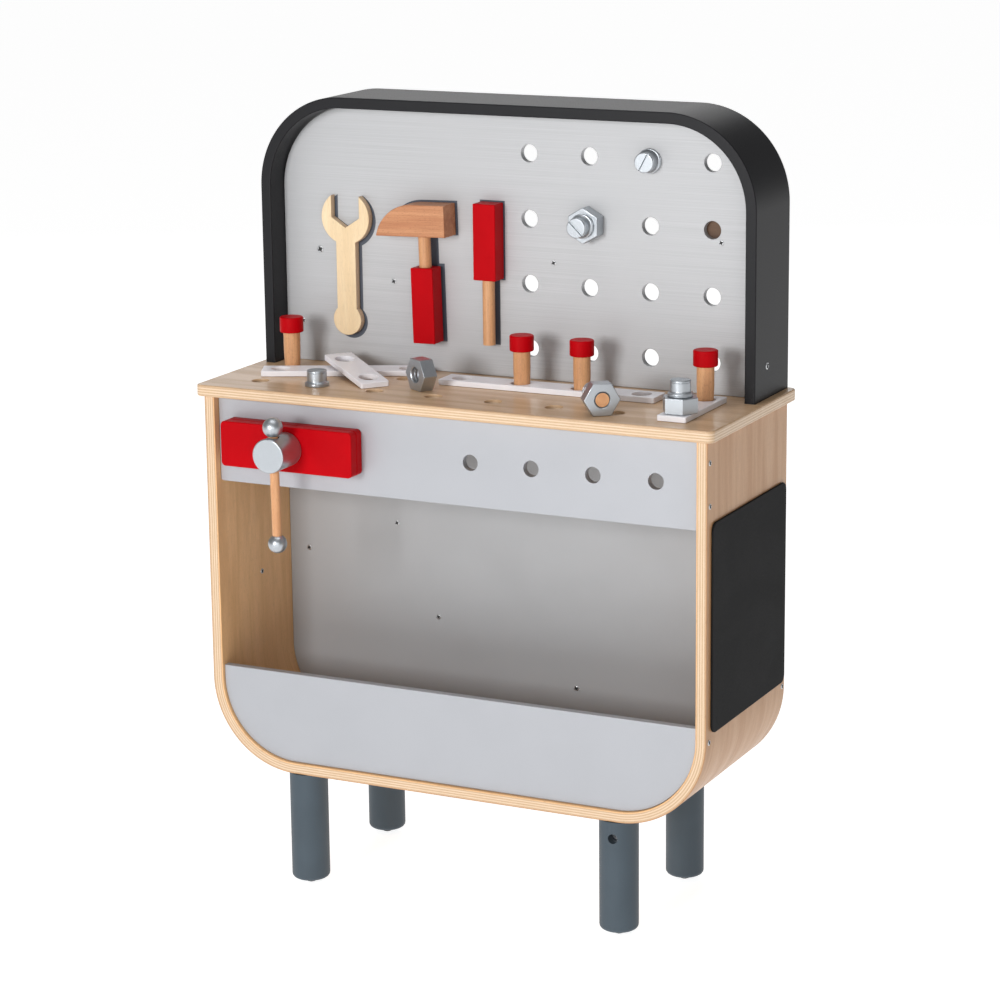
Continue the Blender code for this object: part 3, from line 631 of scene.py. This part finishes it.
def silver_paint(name, colour, roughness, metallic):
    """Metallic paint: fine flakes in a smooth satin coat."""
    look = Look(name, metallic=metallic, coat_weight=0.1, coat_roughness=0.3)
    flakes = look.noise(look.at(5200, 5200, 5200), detail=1)
    clouds = look.noise(look.at(14, 14, 14), detail=2)
    pores = look.noise(look.at(10, 500, 500), detail=2)
    darker = scaled(colour, 0.80)
    lighter = scaled(colour, 1.18)
    body = look.mix(look.span(flakes, 0.32, 0.68), darker, lighter)
    body = look.mix(look.span(clouds, 0.3, 0.7, 0, 0.12), body, darker)
    body = look.mix(look.maths("MULTIPLY", look.edge, 0.3), body, lighter)
    rough = look.span(clouds, 0.3, 0.7, roughness - 0.04, roughness + 0.05)
    grain = look.bump(pores, 0.00003, 0.35)
    return look.finish(body, rough, look.bump(flakes, 0.00001, 0.4, grain))


def brushed_silver(name, colour, roughness, metallic):
    """A silver facing brushed from side to side."""
    look = Look(name, metallic=metallic)
    strokes = look.noise(look.at(5, 2400, 2400), detail=3)
    bands = look.noise(look.at(1.5, 260, 260), detail=3)
    darker = scaled(colour, 0.88)
    lighter = scaled(colour, 1.08)
    body = look.mix(look.span(strokes, 0.3, 0.7), darker, lighter)
    body = look.mix(look.span(bands, 0.3, 0.7, 0, 0.2), body, darker)
    rough = look.span(strokes, 0.3, 0.7, roughness - 0.07, roughness + 0.09)
    return look.finish(body, rough, look.bump(strokes, 0.00002, 0.5))


def chalkboard_paint(name):
    """Matt black with the grey haze that wiped chalk leaves."""
    look = Look(name, specular_ior_level=0.2)
    haze = look.noise(look.at(9, 14, 9), detail=5, distortion=0.8)
    grit = look.noise(look.at(2600, 2600, 2600), detail=1)
    body = look.mix(look.span(haze, 0.4, 0.75, 0, 0.5), tone(27, 27, 28), tone(38, 38, 39))
    rough = look.span(grit, 0.3, 0.7, 0.72, 0.88)
    return look.finish(body, rough, look.bump(grit, 0.00002, 0.6))


def zinc_steel(name):
    """Zinc-plated steel, read from the object's own coordinates, so that bare CAD meshes can use it."""
    look = Look(name, metallic=1.0)
    look.board = look.node("TexCoord", {}, output=3)
    grain = look.noise(look.at(3000, 3000, 3000), detail=2)
    stains = look.noise(look.at(300, 300, 300), detail=2)
    body = look.mix(look.span(stains, 0.3, 0.7), tone(178, 180, 184), tone(206, 207, 208))
    rough = look.span(grain, 0.3, 0.7, 0.26, 0.42)
    return look.finish(body, rough, look.bump(grain, 0.00001, 0.4))


def make_looks():
    tan, brown = tone(196, 150, 106), tone(184, 138, 95)
    cream, straw = tone(240, 216, 178), tone(230, 202, 160)
    honey, amber = tone(212, 178, 142), tone(196, 161, 124)
    light, dark = tone(226, 190, 147), tone(205, 164, 118)
    # painted light: the shell's inside face is lightened 1.6 to 1.75 times, standing in for the light that falls
    # there
    painted_light_inside = (1.6, 1.74, 1.75, 1)
    return {
        "shell": birch_ply("birch_shell", PLY, tan, brown, 0.42, painted_back_light=painted_light_inside),
        "worktop": birch_ply("birch_worktop", WORKTOP_THICKNESS, honey, amber, 0.38, gloss=0.2),
        "wrench": birch_ply("birch_wrench", WRENCH_THICKNESS, cream, straw, 0.5, plies=7),
        "birch": birch_ply("birch_block", NUT_BLOCK_THICKNESS, light, dark, 0.5),
        "beech": solid_wood("beech", tone(224, 170, 122), tone(206, 148, 102), 0.5),
        # painted shade: a darker beech for the cleat behind the pegboard, standing in for the shade it lies in
        "painted_shade_beech": solid_wood("beech_painted_shade", tone(104, 76, 54), tone(84, 58, 40), 0.6),
        "hammer": solid_wood("beech_hammer_head", tone(206, 148, 104), tone(178, 114, 74), 0.5),
        "silver": silver_paint("silver_paint", tone(172, 174, 179), 0.45, 0.3),
        "turned": silver_paint("silver_paint_turned", tone(182, 187, 192), 0.36, 0.92),
        "back": silver_paint("silver_paint_back", tone(168, 169, 171), 0.5, 0.3),
        "board": brushed_silver("brushed_silver", tone(184, 185, 187), 0.52, 0.28),
        "black": painted_wood("black_paint", tone(26, 26, 29), 0.45, 0.35, 0.4, sheen=0.22),
        "slate": painted_wood("slate_paint", tone(68, 80, 89), 0.5, 0.15, 0.2, sheen=0.35),
        "red": painted_wood("red_paint", tone(182, 0, 12), 0.42, 0.12, 0.0, sheen=0.06),
        "white": painted_wood("white_paint", tone(240, 238, 242), 0.38, 0.12, 0.1),
        "ink": painted_wood("slate_print", tone(70, 76, 88), 0.5, 0.1, 0.0),
        "chalk": chalkboard_paint("chalkboard_paint"),
        # black plastic for the glides; the same material paints the screw recesses dark as painted shade
        "plastic_and_recess_shade": painted_wood("black_plastic_and_recess_shade", tone(28, 28, 29), 0.5, 0.0, 0.3),
        "steel": zinc_steel("zinc_steel"),
    }


# ---------------------------------------------------------------- cabinet and boards


def upright(node, outline, edge, look, holes=()):
    """A board that faces forward, from its outline and the depth of its CAD node."""
    low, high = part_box(node)
    mesh = facing(slab(outline, low.y, high.y, edge, holes), "Y")
    finished(node, mesh, look, grain="XZY")


def section(low, high, edge, ridges=0, relief=0.0):
    """A bent board's section from front to back, with rounded edges. Faint ridges on its front and
    back edges follow the plies."""
    outline = rectangle(0, PLY, low, high, edge, 3)
    if not ridges:
        return outline
    result = []
    for i, (depth, y) in enumerate(outline):
        result.append((depth, y))
        following = outline[(i + 1) % len(outline)]
        if y == following[1] and abs(following[0] - depth) > edge:
            steps = 2 * ridges
            for j in range(1, steps):
                share = j / steps
                inwards = relief if y == low else -relief
                sunk = inwards if j % 2 else 0.0
                result.append((depth + (following[0] - depth) * share, y + sunk))
    return result


def cabinet(looks):
    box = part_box("cabinet_shell")
    foot, crown = box[1].z, box[0].z
    shell = bent_board(box, foot, crown, section(box[0].y, box[1].y, 0.0009))
    drills = []
    for end in ("front_left", "front_right", "back_left", "back_right"):
        centre = middle(f"leg_bolt_{end}")
        place = Matrix.Translation((centre.x, centre.y, 0))
        drills.append(rod_cutter(LEG_BOLT_HOLE, crown - PLY, crown + 2 * PLY, place))
    rule = unbent(box, foot, crown)
    finished("cabinet_shell", carved(shell, *drills), looks["shell"], rule=rule)

    low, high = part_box("front_apron")
    vice = Vector(joints["vice_screw_turn"]["pos_m"])
    first = opening("apron_hole_1")
    holes = [circle(x, first.z, APRON_HOLE_RADIUS) for x in grid_row(first.x, GRID)]
    holes.append(circle(vice.x, vice.z, HOLE_RADIUS))
    outline = rectangle(low.x, high.x, low.z, high.z, APRON_CORNER, 6)
    upright("front_apron", outline, 0.0008, looks["silver"], holes)

    panels = (("lower_front_panel", 0.0008, "silver"), ("cabinet_back_panel", 0.0004, "back"))
    for node, edge, paint in panels:
        low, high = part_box(node)
        outline = arch(low.x, high.x, high.z, low.z, INNER_CORNER)
        upright(node, outline, edge, looks[paint])


def worktop(looks):
    low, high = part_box("worktop")
    back_row = middle("peg_2_cap").y
    outline = rectangle(low.x, high.x, low.y, high.y, WORKTOP_CORNER, 12)
    columns = grid_row(-3.5 * PITCH, 8)
    holes = [circle(x, y, HOLE_RADIUS) for y in (back_row - PITCH, back_row) for x in columns]
    board = slab(outline, low.z, high.z, 0.0018, holes, 0.0007)
    finished("worktop", board, looks["worktop"])


def hood_and_board(looks):
    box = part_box("hood")
    foot, crown = box[0].z, box[1].z
    ridged = section(box[0].y, box[1].y, 0.0014, HOOD_RIDGES, HOOD_RELIEF)
    hood = bent_board(box, foot, crown, ridged)
    finished("hood", hood, looks["black"], rule=unbent(box, foot, crown))

    low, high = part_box("pegboard")
    first = opening("board_hole_row1_column1")
    holes = []
    for z in grid_row(first.z, GRID):
        holes += [circle(x, z, HOLE_RADIUS) for x in grid_row(first.x, GRID)]
    outline = arch(low.x, high.x, low.z, high.z, BOARD_CORNER)
    upright("pegboard", outline, 0.0005, looks["board"], holes)

    low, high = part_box("board_cleat")
    slant = low.x + CLEAT_SLOPE
    outline = [(low.x, low.z), (high.x, low.z), (high.x, high.z), (slant, high.z)]
    # painted shade: the cleat takes the darker beech, for the shade behind the pegboard
    upright("board_cleat", outline, 0.001, looks["painted_shade_beech"])


def chalkboard(looks):
    low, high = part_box("side_chalkboard")
    outline = rectangle(low.y, high.y, low.z, high.z, CHALKBOARD_CORNER)
    board = facing(slab(outline, low.x, high.x, 0.0006), "X")
    finished("side_chalkboard", board, looks["chalk"], grain="YZX")


def legs(looks):
    nut_turns = {"front_left": 200, "front_right": 5, "back_left": 150, "back_right": 115}
    for end, nut_turn in nut_turns.items():
        low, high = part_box(f"leg_{end}")
        length = high.z - low.z
        height = middle(f"barrel_nut_{end}").z - low.z
        profile = [(GLIDE_PIN_HOLE, GLIDE_PIN_DEPTH), (GLIDE_PIN_HOLE, 0.0)]
        profile += rounded(LEG_RADIUS, 0, LEG_FOOT, -1)
        profile += rounded(LEG_RADIUS, length, 0.0006)
        profile += [(LEG_BOLT_HOLE, length), (LEG_BOLT_HOLE, height - LEG_BOLT_PAST_NUT)]
        turn = Matrix.Rotation(math.radians(nut_turn), 4, "Z")
        across = Matrix.Translation((0, 0, height)) @ Matrix.Rotation(math.radians(90), 4, "X")
        hole = rod_cutter(BARREL_NUT_RADIUS, BARREL_NUT_BACK, 2 * LEG_RADIUS, turn @ across)
        centre = middle(f"leg_{end}")
        post = carved(turned(profile, 64), hole)
        finished(f"leg_{end}", post, looks["slate"], (centre.x, centre.y, low.z), grain="ZXY")

        low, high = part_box(f"glide_{end}")
        centre = middle(f"glide_{end}")
        glide = [(0.004, 0), (0.0063, 0.0012), (0.007, 0.0020), (0.007, 0.0053)]
        glide += [(0.002, 0.0055), (0.002, high.z - low.z)]
        finished(f"glide_{end}", turned(glide, 32), looks["plastic_and_recess_shade"], (centre.x, centre.y, low.z))


# ---------------------------------------------------------------- vice


def vice(looks):
    spindle = Vector(joints["vice_screw_turn"]["pos_m"])
    for node in ("vice_fixed_jaw", "vice_moving_jaw"):
        low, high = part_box(node)
        outline = rectangle(low.x, high.x, low.z, high.z, JAW_CORNER)
        hole = circle(spindle.x, spindle.z, HOLE_RADIUS)
        upright(node, outline, 0.0011, looks["red"], [hole])

    low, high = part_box("vice_nut_block")
    outline = rectangle(low.x, high.x, low.z, high.z)
    bore = circle(spindle.x, spindle.z, VICE_SCREW_RADIUS + GAP)
    upright("vice_nut_block", outline, 0.0008, looks["birch"], [bore])

    low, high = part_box("vice_hub")
    forward = (math.radians(90), 0, 0)
    length = high.y - low.y
    bore = VICE_SCREW_RADIUS + GAP
    profile = [(bore, HUB_FRONT), (bore, 0)] + rounded(HUB_RADIUS, 0, 0.0012, -1)
    profile += rounded(HUB_RADIUS, length, 0.0012)
    bar_low, bar_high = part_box("vice_bar")
    bar_depth = (bar_low.y + bar_high.y) / 2
    tilt = Matrix.Rotation(bar_tilt(), 4, "Z")
    place = Matrix.Translation((0, 0, high.y - bar_depth)) @ tilt
    across = place @ Matrix.Rotation(math.radians(90), 4, "X")
    cutter = rod_cutter(BAR_RADIUS + 0.001, -2 * HUB_RADIUS, 2 * HUB_RADIUS, across)
    hub = carved(turned(profile, 64), cutter)
    finished("vice_hub", hub, looks["turned"], (spindle.x, high.y, spindle.z), forward, "ZXY")

    low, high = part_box("vice_screw")
    length = high.y - low.y
    core = VICE_SCREW_RADIUS
    profile = [(core - 0.0015, 0)] + thread(core, 0.0013, VICE_LEAD, 0.0008, length - 0.0115, 64, 12)
    profile += [(core, length - 0.011), (core, length)]
    place = (spindle.x, high.y, spindle.z)
    finished("vice_screw", turned(profile, 64), looks["beech"], place, forward, "ZXY")

    top, bottom = middle("vice_ball_top"), middle("vice_ball_bottom")
    centre = (top + bottom) / 2
    lean = (0, bar_tilt(), 0)
    half = (top - bottom).length / 2 - 0.006
    bar = turned(rounded(BAR_RADIUS, -half, 0.0004, -1) + rounded(BAR_RADIUS, half, 0.0004), 40)
    finished("vice_bar", bar, looks["beech"], (centre.x, bar_depth, centre.z), lean, "ZXY")
    balls = (
        ("vice_ball_top", TOP_BALL_RADIUS, top, math.pi),
        ("vice_ball_bottom", BOTTOM_BALL_RADIUS, bottom, 0),
    )
    for node, radius, spot, flip in balls:
        turn = (flip, lean[1], 0)
        finished(node, ball(radius), looks["turned"], (spot.x, bar_depth, spot.z), turn, "ZXY")


def bar_tilt():
    """How far the T-bar leans from upright, about Y."""
    axis = joints["t_bar_slide"]["axis"]
    return math.atan2(axis[0], axis[2])


def ball(radius):
    """A ball with a blind hole from above for the bar."""
    hole = BAR_RADIUS + GAP
    rim = math.degrees(math.asin(hole / radius))
    surface = [(r, -z) for z, r in arc(0, 0, radius, 3, 180 - rim, 28)]
    return turned(surface + [(hole, BALL_HOLE)], 56)


# ---------------------------------------------------------------- loose pieces


def pegs(looks):
    for number in (1, 2, 3, 4):
        low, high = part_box(f"peg_{number}_dowel")
        cap_low, cap_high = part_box(f"peg_{number}_cap")
        centre = middle(f"peg_{number}_dowel")
        length = high.z - low.z
        profile = rounded(PEG_TIP_RADIUS, 0, 0.0010, -1)
        profile += [(PEG_RADIUS, PEG_TAPER), (PEG_RADIUS, length)]
        spot = (centre.x, centre.y, low.z)
        finished(f"peg_{number}_dowel", turned(profile), looks["beech"], spot, grain="ZXY")

        bore = PEG_RADIUS + GAP
        height = cap_high.z - cap_low.z
        profile = [(bore, CAP_GLUED), (bore, 0)] + rounded(CAP_RADIUS, 0, 0.0014, -1, 5)
        profile += rounded(CAP_RADIUS, height, 0.0016, 1, 5)
        spot = (centre.x, centre.y, cap_low.z)
        finished(f"peg_{number}_cap", turned(profile, 64), looks["red"], spot, grain="ZXY")


def strips(looks):
    low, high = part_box("strip_2_hole_leaning")
    lean = -math.asin((high.z - low.z - STRIP_THICKNESS) / (PITCH + 2 * STRIP_END))
    layout = {
        "strip_3_hole": (3, 0, 24),
        "strip_2_hole_leaning": (2, lean, -40),
        "strip_4_hole": (4, 0, 0),
        "strip_2_hole_right": (2, 0, 90),
    }
    for node, (count, tilt, turn) in layout.items():
        half = PITCH * (count - 1) / 2
        width = STRIP_WIDTH / 2
        outline = rectangle(-half - STRIP_END, half + STRIP_END, -width, width, 0.0018, 4)
        holes = [circle(x, 0, STRIP_HOLE_RADIUS) for x in grid_row(-half, count)]
        thick = STRIP_THICKNESS / 2
        piece = slab(outline, -thick, thick, 0.0006, holes)
        rotation = (0, -tilt, math.radians(turn))
        finished(node, piece, looks["white"], middle(node), rotation)


def nut():
    """A hexagonal nut round its own Z, with a threaded bore."""
    half = NUT_THICKNESS / 2
    edge = 0.0009
    mouth = [(a, b, -half) for a, b in circle(0, 0, NUT_BORE + edge)]
    bore = [mouth] + thread(NUT_BORE, -0.0012, BOLT_THREAD, edge - half, half - edge)
    bore.append([(a, b, -c) for a, b, c in mouth])
    rings = [(ring, 0.0) for ring in bore]
    return slab(hexagon(NUT_FLATS), -half, half, edge, walls=[rings])


def nuts(looks):
    quarter = math.radians(90)
    layout = {
        "nut_on_strip": ((0, 0, 0), 0),
        "nut_lying_left": ((quarter, 0, math.radians(-31)), 0),
        "nut_lying_right": ((quarter, 0, math.radians(38)), 0),
        "nut_on_board": ((quarter, 0, 0), 30),
    }
    for node, (turn, corner) in layout.items():
        mesh = nut()
        mesh.transform(Matrix.Rotation(math.radians(corner), 4, "Z"))
        finished(node, mesh, looks["turned"], middle(node), turn)


def groove(radius, height):
    """Profile points of a fine groove turned into a round side."""
    depth, half = 0.0005, 0.0002
    floor = radius - depth
    return [
        (radius, height - half - depth / 2),
        (floor, height - half),
        (floor, height + half),
        (radius, height + half + depth / 2),
    ]


def bolt(slot_turn):
    """A turned bolt with a slotted head. Its origin is under the flange, the head up its own Z."""
    end = -BOLT_SHANK_LENGTH
    shank = BOLT_SHANK_RADIUS
    profile = [(shank - 0.0004, end)]
    profile += thread(shank, 0.0009, BOLT_THREAD, end + 0.0008, -0.0015, 64)
    profile += [(shank, 0)] + rounded(FLANGE_RADIUS, 0, 0.0006, -1)
    profile += groove(FLANGE_RADIUS, 0.0019)
    profile += rounded(FLANGE_RADIUS, FLANGE_HEIGHT, 0.0006)[:-1]
    flare = FLANGE_RADIUS - BOLT_HEAD_RADIUS
    throat = arc(FLANGE_RADIUS, FLANGE_HEIGHT + 0.0026, flare, 262, 180, 8)
    profile += throat + groove(BOLT_HEAD_RADIUS, BOLT_HEAD_HEIGHT - 0.0024)
    profile += rounded(BOLT_HEAD_RADIUS, BOLT_HEAD_HEIGHT, 0.0011)
    outline = rectangle(-SLOT_WIDTH / 2, SLOT_WIDTH / 2, -FLANGE_RADIUS, FLANGE_RADIUS)
    slot = slab(outline, BOLT_HEAD_HEIGHT - SLOT_DEPTH, BOLT_HEAD_HEIGHT + SLOT_DEPTH, 0.0002)
    slot.transform(Matrix.Rotation(slot_turn, 4, "Z"))
    return carved(turned(profile, 64), slot)


def bolts(looks):
    quarter = math.radians(90)
    places = []
    for node, slot_turn in (("bolt_worktop", -64), ("bolt_on_strip", 100)):
        centre = middle(node)
        spot = (centre.x, centre.y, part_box(node)[1].z - BOLT_HEAD_HEIGHT)
        places.append((node, slot_turn, spot, (0, 0, 0)))
    for node, slot_turn in (("bolt_on_board", -28), ("bolt_in_board_nut", 46)):
        centre = middle(node)
        spot = (centre.x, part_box(node)[0].y + BOLT_HEAD_HEIGHT, centre.z)
        places.append((node, slot_turn, spot, (quarter, 0, 0)))
    axis = Vector(joints["bolt_in_nut_unscrew"]["axis"])
    turn = (-quarter, 0, math.atan2(-axis.x, axis.y))
    from_nut = BOLT_SHANK_LENGTH + GAP - NUT_THICKNESS / 2
    places.append(("bolt_lying_right", 17, middle("nut_lying_right") + axis * from_nut, turn))
    for node, slot_turn, spot, turn in places:
        piece = finished(node, bolt(math.radians(slot_turn)), looks["turned"], spot, turn, "ZXY")
        piece.data.materials.append(looks["beech"])
        for face in piece.data.polygons:
            if face.center.z < 0.0003 - BOLT_SHANK_LENGTH:
                face.material_index = 1


# ---------------------------------------------------------------- tools


def tool_print(name, outline, spot, tilt, looks):
    """A tool's outline printed on the pegboard, a little larger than the tool."""
    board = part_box("pegboard")[0].y
    mesh = facing(slab(inset(outline, -PRINT_MARGIN), -0.00012, -0.00001, 0.00002), "Y")
    finished(name, mesh, looks["ink"], (spot[0], board, spot[1]), (0, tilt, 0))


def wrench(looks):
    low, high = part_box("wrench")
    centre = middle("wrench")
    jaw = (centre.x, low.z + WRENCH_END_RADIUS + WRENCH_END_DROP)
    plate = facing(slab(wrench_outline(), low.y, high.y, 0.0009), "Y")
    finished("wrench", plate, looks["wrench"], (jaw[0], 0, jaw[1]), grain="ZXY")
    tool_print("wrench_print", wrench_outline(), (jaw[0] + 0.002, jaw[1] - 0.003), 0, looks)


def tool_shaft(low, high):
    return turned([(TOOL_SHAFT_RADIUS, low), (TOOL_SHAFT_RADIUS, high)])


def grip(node, looks, place, turn, low, high, opening):
    """A square handle with rounded edges and a blind hole where its shaft goes in, at its low or
    high end."""
    half_width = GRIP_WIDTH / 2
    half_depth = GRIP_DEPTH / 2
    outline = rectangle(-half_width, half_width, -half_depth, half_depth, 0.0012, 3)
    block = slab(outline, low, high, 0.0010)
    reach = GLUED + GAP
    drill = rod_cutter(TOOL_SHAFT_RADIUS + GAP, opening - reach, opening + reach, Matrix())
    finished(node, carved(block, drill), looks["red"], place, turn, "ZXY")


def hammer(looks):
    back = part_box("hammer_head")[1].y
    turn = (0, HAMMER_TILT, 0)
    spot = (HAMMER_PLACE[0], back, HAMMER_PLACE[1])
    middle_depth = -HAMMER_HEAD_DEPTH / 2
    head = facing(slab(hammer_head_outline(), -HAMMER_HEAD_DEPTH, 0, 0.0009), "Y")
    place = Matrix.Translation((0, middle_depth, 0))
    drill = rod_cutter(TOOL_SHAFT_RADIUS + GAP, -PLY, GLUED + GAP, place)
    finished("hammer_head", carved(head, drill), looks["hammer"], spot, turn, "XZY")

    grip_top = HAMMER_GRIP_TOP
    axis_spot = Vector(spot) + Matrix.Rotation(HAMMER_TILT, 3, "Y") @ Vector((0, middle_depth, 0))
    grip("hammer_grip", looks, axis_spot, turn, grip_top - GRIP_LENGTH, grip_top, grip_top)
    shaft = tool_shaft(grip_top - GLUED, GLUED)
    finished("hammer_shaft", shaft, looks["beech"], axis_spot, turn, "ZXY")

    half = TOOL_SHAFT_RADIUS
    half_grip = GRIP_WIDTH / 2
    foot = grip_top - GRIP_LENGTH
    outline = hammer_head_outline()[:-2]
    outline += [(-half, 0), (-half, grip_top), (-half_grip, grip_top), (-half_grip, foot)]
    outline += [(half_grip, foot), (half_grip, grip_top), (half, grip_top), (half, 0)]
    outline += hammer_head_outline()[-2:]
    spot = (HAMMER_PLACE[0] + 0.0012, HAMMER_PLACE[1] + 0.0006)
    tool_print("hammer_print", outline, spot, HAMMER_TILT, looks)


def screwdriver(looks):
    grip_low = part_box("screwdriver_grip")[0]
    centre = middle("screwdriver_grip")
    spot = (centre.x, centre.y, grip_low.z)
    grip("screwdriver_grip", looks, spot, (0, 0, 0), 0, GRIP_LENGTH, 0)

    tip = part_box("screwdriver_shaft")[0].z - grip_low.z
    wedges = []
    for side in (-1, 1):
        outline = [
            (side * TOOL_SHAFT_RADIUS, tip + DRIVER_WEDGE),
            (side * 0.0030, tip - 0.004),
            (side * 2 * TOOL_SHAFT_RADIUS, tip - 0.004),
            (side * 2 * TOOL_SHAFT_RADIUS, tip + DRIVER_WEDGE),
        ]
        outline = outline if side > 0 else outline[::-1]
        wedge = slab(outline, -2 * TOOL_SHAFT_RADIUS, 2 * TOOL_SHAFT_RADIUS, 0.0001)
        wedges.append(facing(wedge, "X"))
    shaft = carved(tool_shaft(tip, GLUED), *wedges)
    finished("screwdriver_shaft", shaft, looks["beech"], spot, grain="ZXY")

    half = TOOL_SHAFT_RADIUS
    half_grip = GRIP_WIDTH / 2
    outline = [(-half_grip, GRIP_LENGTH), (-half_grip, 0), (-half, 0), (-half, tip)]
    outline += [(half, tip), (half, 0), (half_grip, 0), (half_grip, GRIP_LENGTH)]
    tool_print("screwdriver_print", outline, (spot[0], spot[2]), 0, looks)


# ---------------------------------------------------------------- screws


def cross_screw(scale):
    """A countersunk screw head with a cross recess, facing its own +Z."""
    rim = rounded(SCREW_RADIUS, SCREW_STAND, SCREW_STAND, 1, 3)
    head = turned([(0.9 * SCREW_RADIUS, -0.0004)] + rim, 32)
    arms = [rod_cutter(RECESS_RADIUS, SCREW_FLOOR, 0.002, Matrix())]
    half = RECESS_ARM_WIDTH / 2
    for turn in (30, 120):
        arm = slab(rectangle(-RECESS_ARM, RECESS_ARM, -half, half), SCREW_FLOOR, 0.002, 0.0001)
        arm.transform(Matrix.Rotation(math.radians(turn), 4, "Z"))
        arms.append(arm)
    screw = carved(head, *arms)
    screw.transform(Matrix.Diagonal((scale, scale, 1, 1)))
    return screw


def screws(looks):
    """Screw heads at their heights and their distances from the middle or, on the sides, from the
    cabinet's front."""
    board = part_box("pegboard")[0].y
    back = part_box("cabinet_back_panel")[0].y
    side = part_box("cabinet_shell")[1].x
    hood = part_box("hood")[1].x
    hood_middle = middle("hood").y
    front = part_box("cabinet_shell")[0].y
    forward = (math.radians(90), 0, 0)
    right = (0, math.radians(90), 0)
    left = (0, math.radians(-90), 0)
    on_board = ((-0.144, 0.653), (0.049, 0.6855), (0.241, 0.7185), (-0.259, 0.602))
    on_back = ((-0.256, 0.342), (-0.143, 0.382), (-0.093, 0.279), (0.0755, 0.217))
    on_side = ((0.0068, 0.522), (0.0074, 0.477), (0.0080, 0.228), (0.215, 0.230))
    places = [((-0.2351, board, 0.6831), forward, LARGE_SCREW)]
    places += [((x, board, z), forward, 1) for x, z in on_board]
    places += [((x, back, z), forward, 1) for x, z in on_back]
    for y, z in on_side:
        places.append(((side, front + y, z), right, 1))
        places.append(((-side, front + y, z), left, 1))
    places.append(((PLY - side, front + 0.0904, 0.3276), right, 1))
    places.append(((hood, hood_middle - 0.014, 0.592), right, HOOD_SCREW))
    places.append(((-hood, hood_middle - 0.014, 0.592), left, HOOD_SCREW))
    for number, (spot, turn, scale) in enumerate(places, start=1):
        piece = finished(f"screw_{number}", cross_screw(scale), looks["steel"], spot, turn)
        # painted shade: the recess faces take the black material, darkening them where shade falls
        piece.data.materials.append(looks["plastic_and_recess_shade"])
        for face in piece.data.polygons:
            in_recess = face.center.xy.length < 1.04 * RECESS_ARM * scale
            if in_recess and face.center.z < 0.9 * SCREW_STAND:
                face.material_index = 1


def inner_metal(looks):
    """The leg bolts and barrel nuts keep their CAD meshes."""
    for name, node in frame["nodes"].items():
        if name.startswith(("leg_bolt", "barrel_nut")):
            node.data.materials.clear()
            node.data.materials.append(looks["steel"])


# ---------------------------------------------------------------- stage


def camera():
    level_part = math.cos(CAMERA_ELEVATION)
    across = math.sin(CAMERA_AZIMUTH) * level_part
    towards = math.cos(CAMERA_AZIMUTH) * level_part
    back = Vector((across, -towards, math.sin(CAMERA_ELEVATION)))
    data = bpy.data.cameras.new("camera")
    data.lens = CAMERA_LENS
    data.sensor_width = 36.0
    level = back.to_track_quat("Z", "Y").to_matrix()
    turn = (level @ Matrix.Rotation(CAMERA_ROLL, 3, "Z")).to_euler()
    place = CAMERA_AIM + back * CAMERA_DISTANCE
    bpy.context.scene.camera = added("camera", data, place, turn)


def softbox(name, place, size, watts):
    """A rectangular lamp that the camera doesn't see."""
    data = bpy.data.lights.new(name, "AREA")
    data.shape = "RECTANGLE"
    data.size, data.size_y = size
    data.energy = watts
    turn = (Vector(place) - Vector(LIGHT_AIM)).to_track_quat("Z", "Y").to_euler()
    added(name, data, place, turn).visible_camera = False


def studio():
    mesh = bmesh.new()
    bmesh.ops.create_grid(mesh, x_segments=1, y_segments=1, size=15)
    floor = added("floor", mesh_data("floor", mesh))
    paint = bpy.data.materials.new("pale_floor")
    paint.use_nodes = True
    shader = paint.node_tree.nodes["Principled BSDF"]
    shader.inputs["Base Color"].default_value = (0.5, 0.5, 0.5, 1.0)
    shader.inputs["Roughness"].default_value = 0.7
    shader.inputs["Emission Color"].default_value = (1.0, 1.0, 1.0, 1.0)
    shader.inputs["Emission Strength"].default_value = 0.87
    floor.data.materials.append(paint)

    world = bpy.data.worlds.new("studio")
    world.use_nodes = True
    light = world.node_tree.nodes["Background"]
    light.inputs["Color"].default_value = (1.0, 1.0, 1.0, 1.0)
    light.inputs["Strength"].default_value = 0.2
    bpy.context.scene.world = world
    bpy.context.scene.view_settings.view_transform = "Standard"

    softbox("key", (-0.47, -3.7, 1.35), (1.0, 1.0), 78)
    softbox("fill", (2.0, -3.4, 1.2), (1.6, 1.6), 22)
    softbox("top", (0.0, -0.3, 3.0), (2.0, 1.4), 20)
    softbox("back", (-1.75, 3.6, 2.0), (3.0, 1.2), 22)


def main():
    looks = make_looks()
    cabinet(looks)
    worktop(looks)
    hood_and_board(looks)
    chalkboard(looks)
    legs(looks)
    vice(looks)
    pegs(looks)
    strips(looks)
    nuts(looks)
    bolts(looks)
    wrench(looks)
    hammer(looks)
    screwdriver(looks)
    screws(looks)
    inner_metal(looks)
    camera()
    studio()


main()
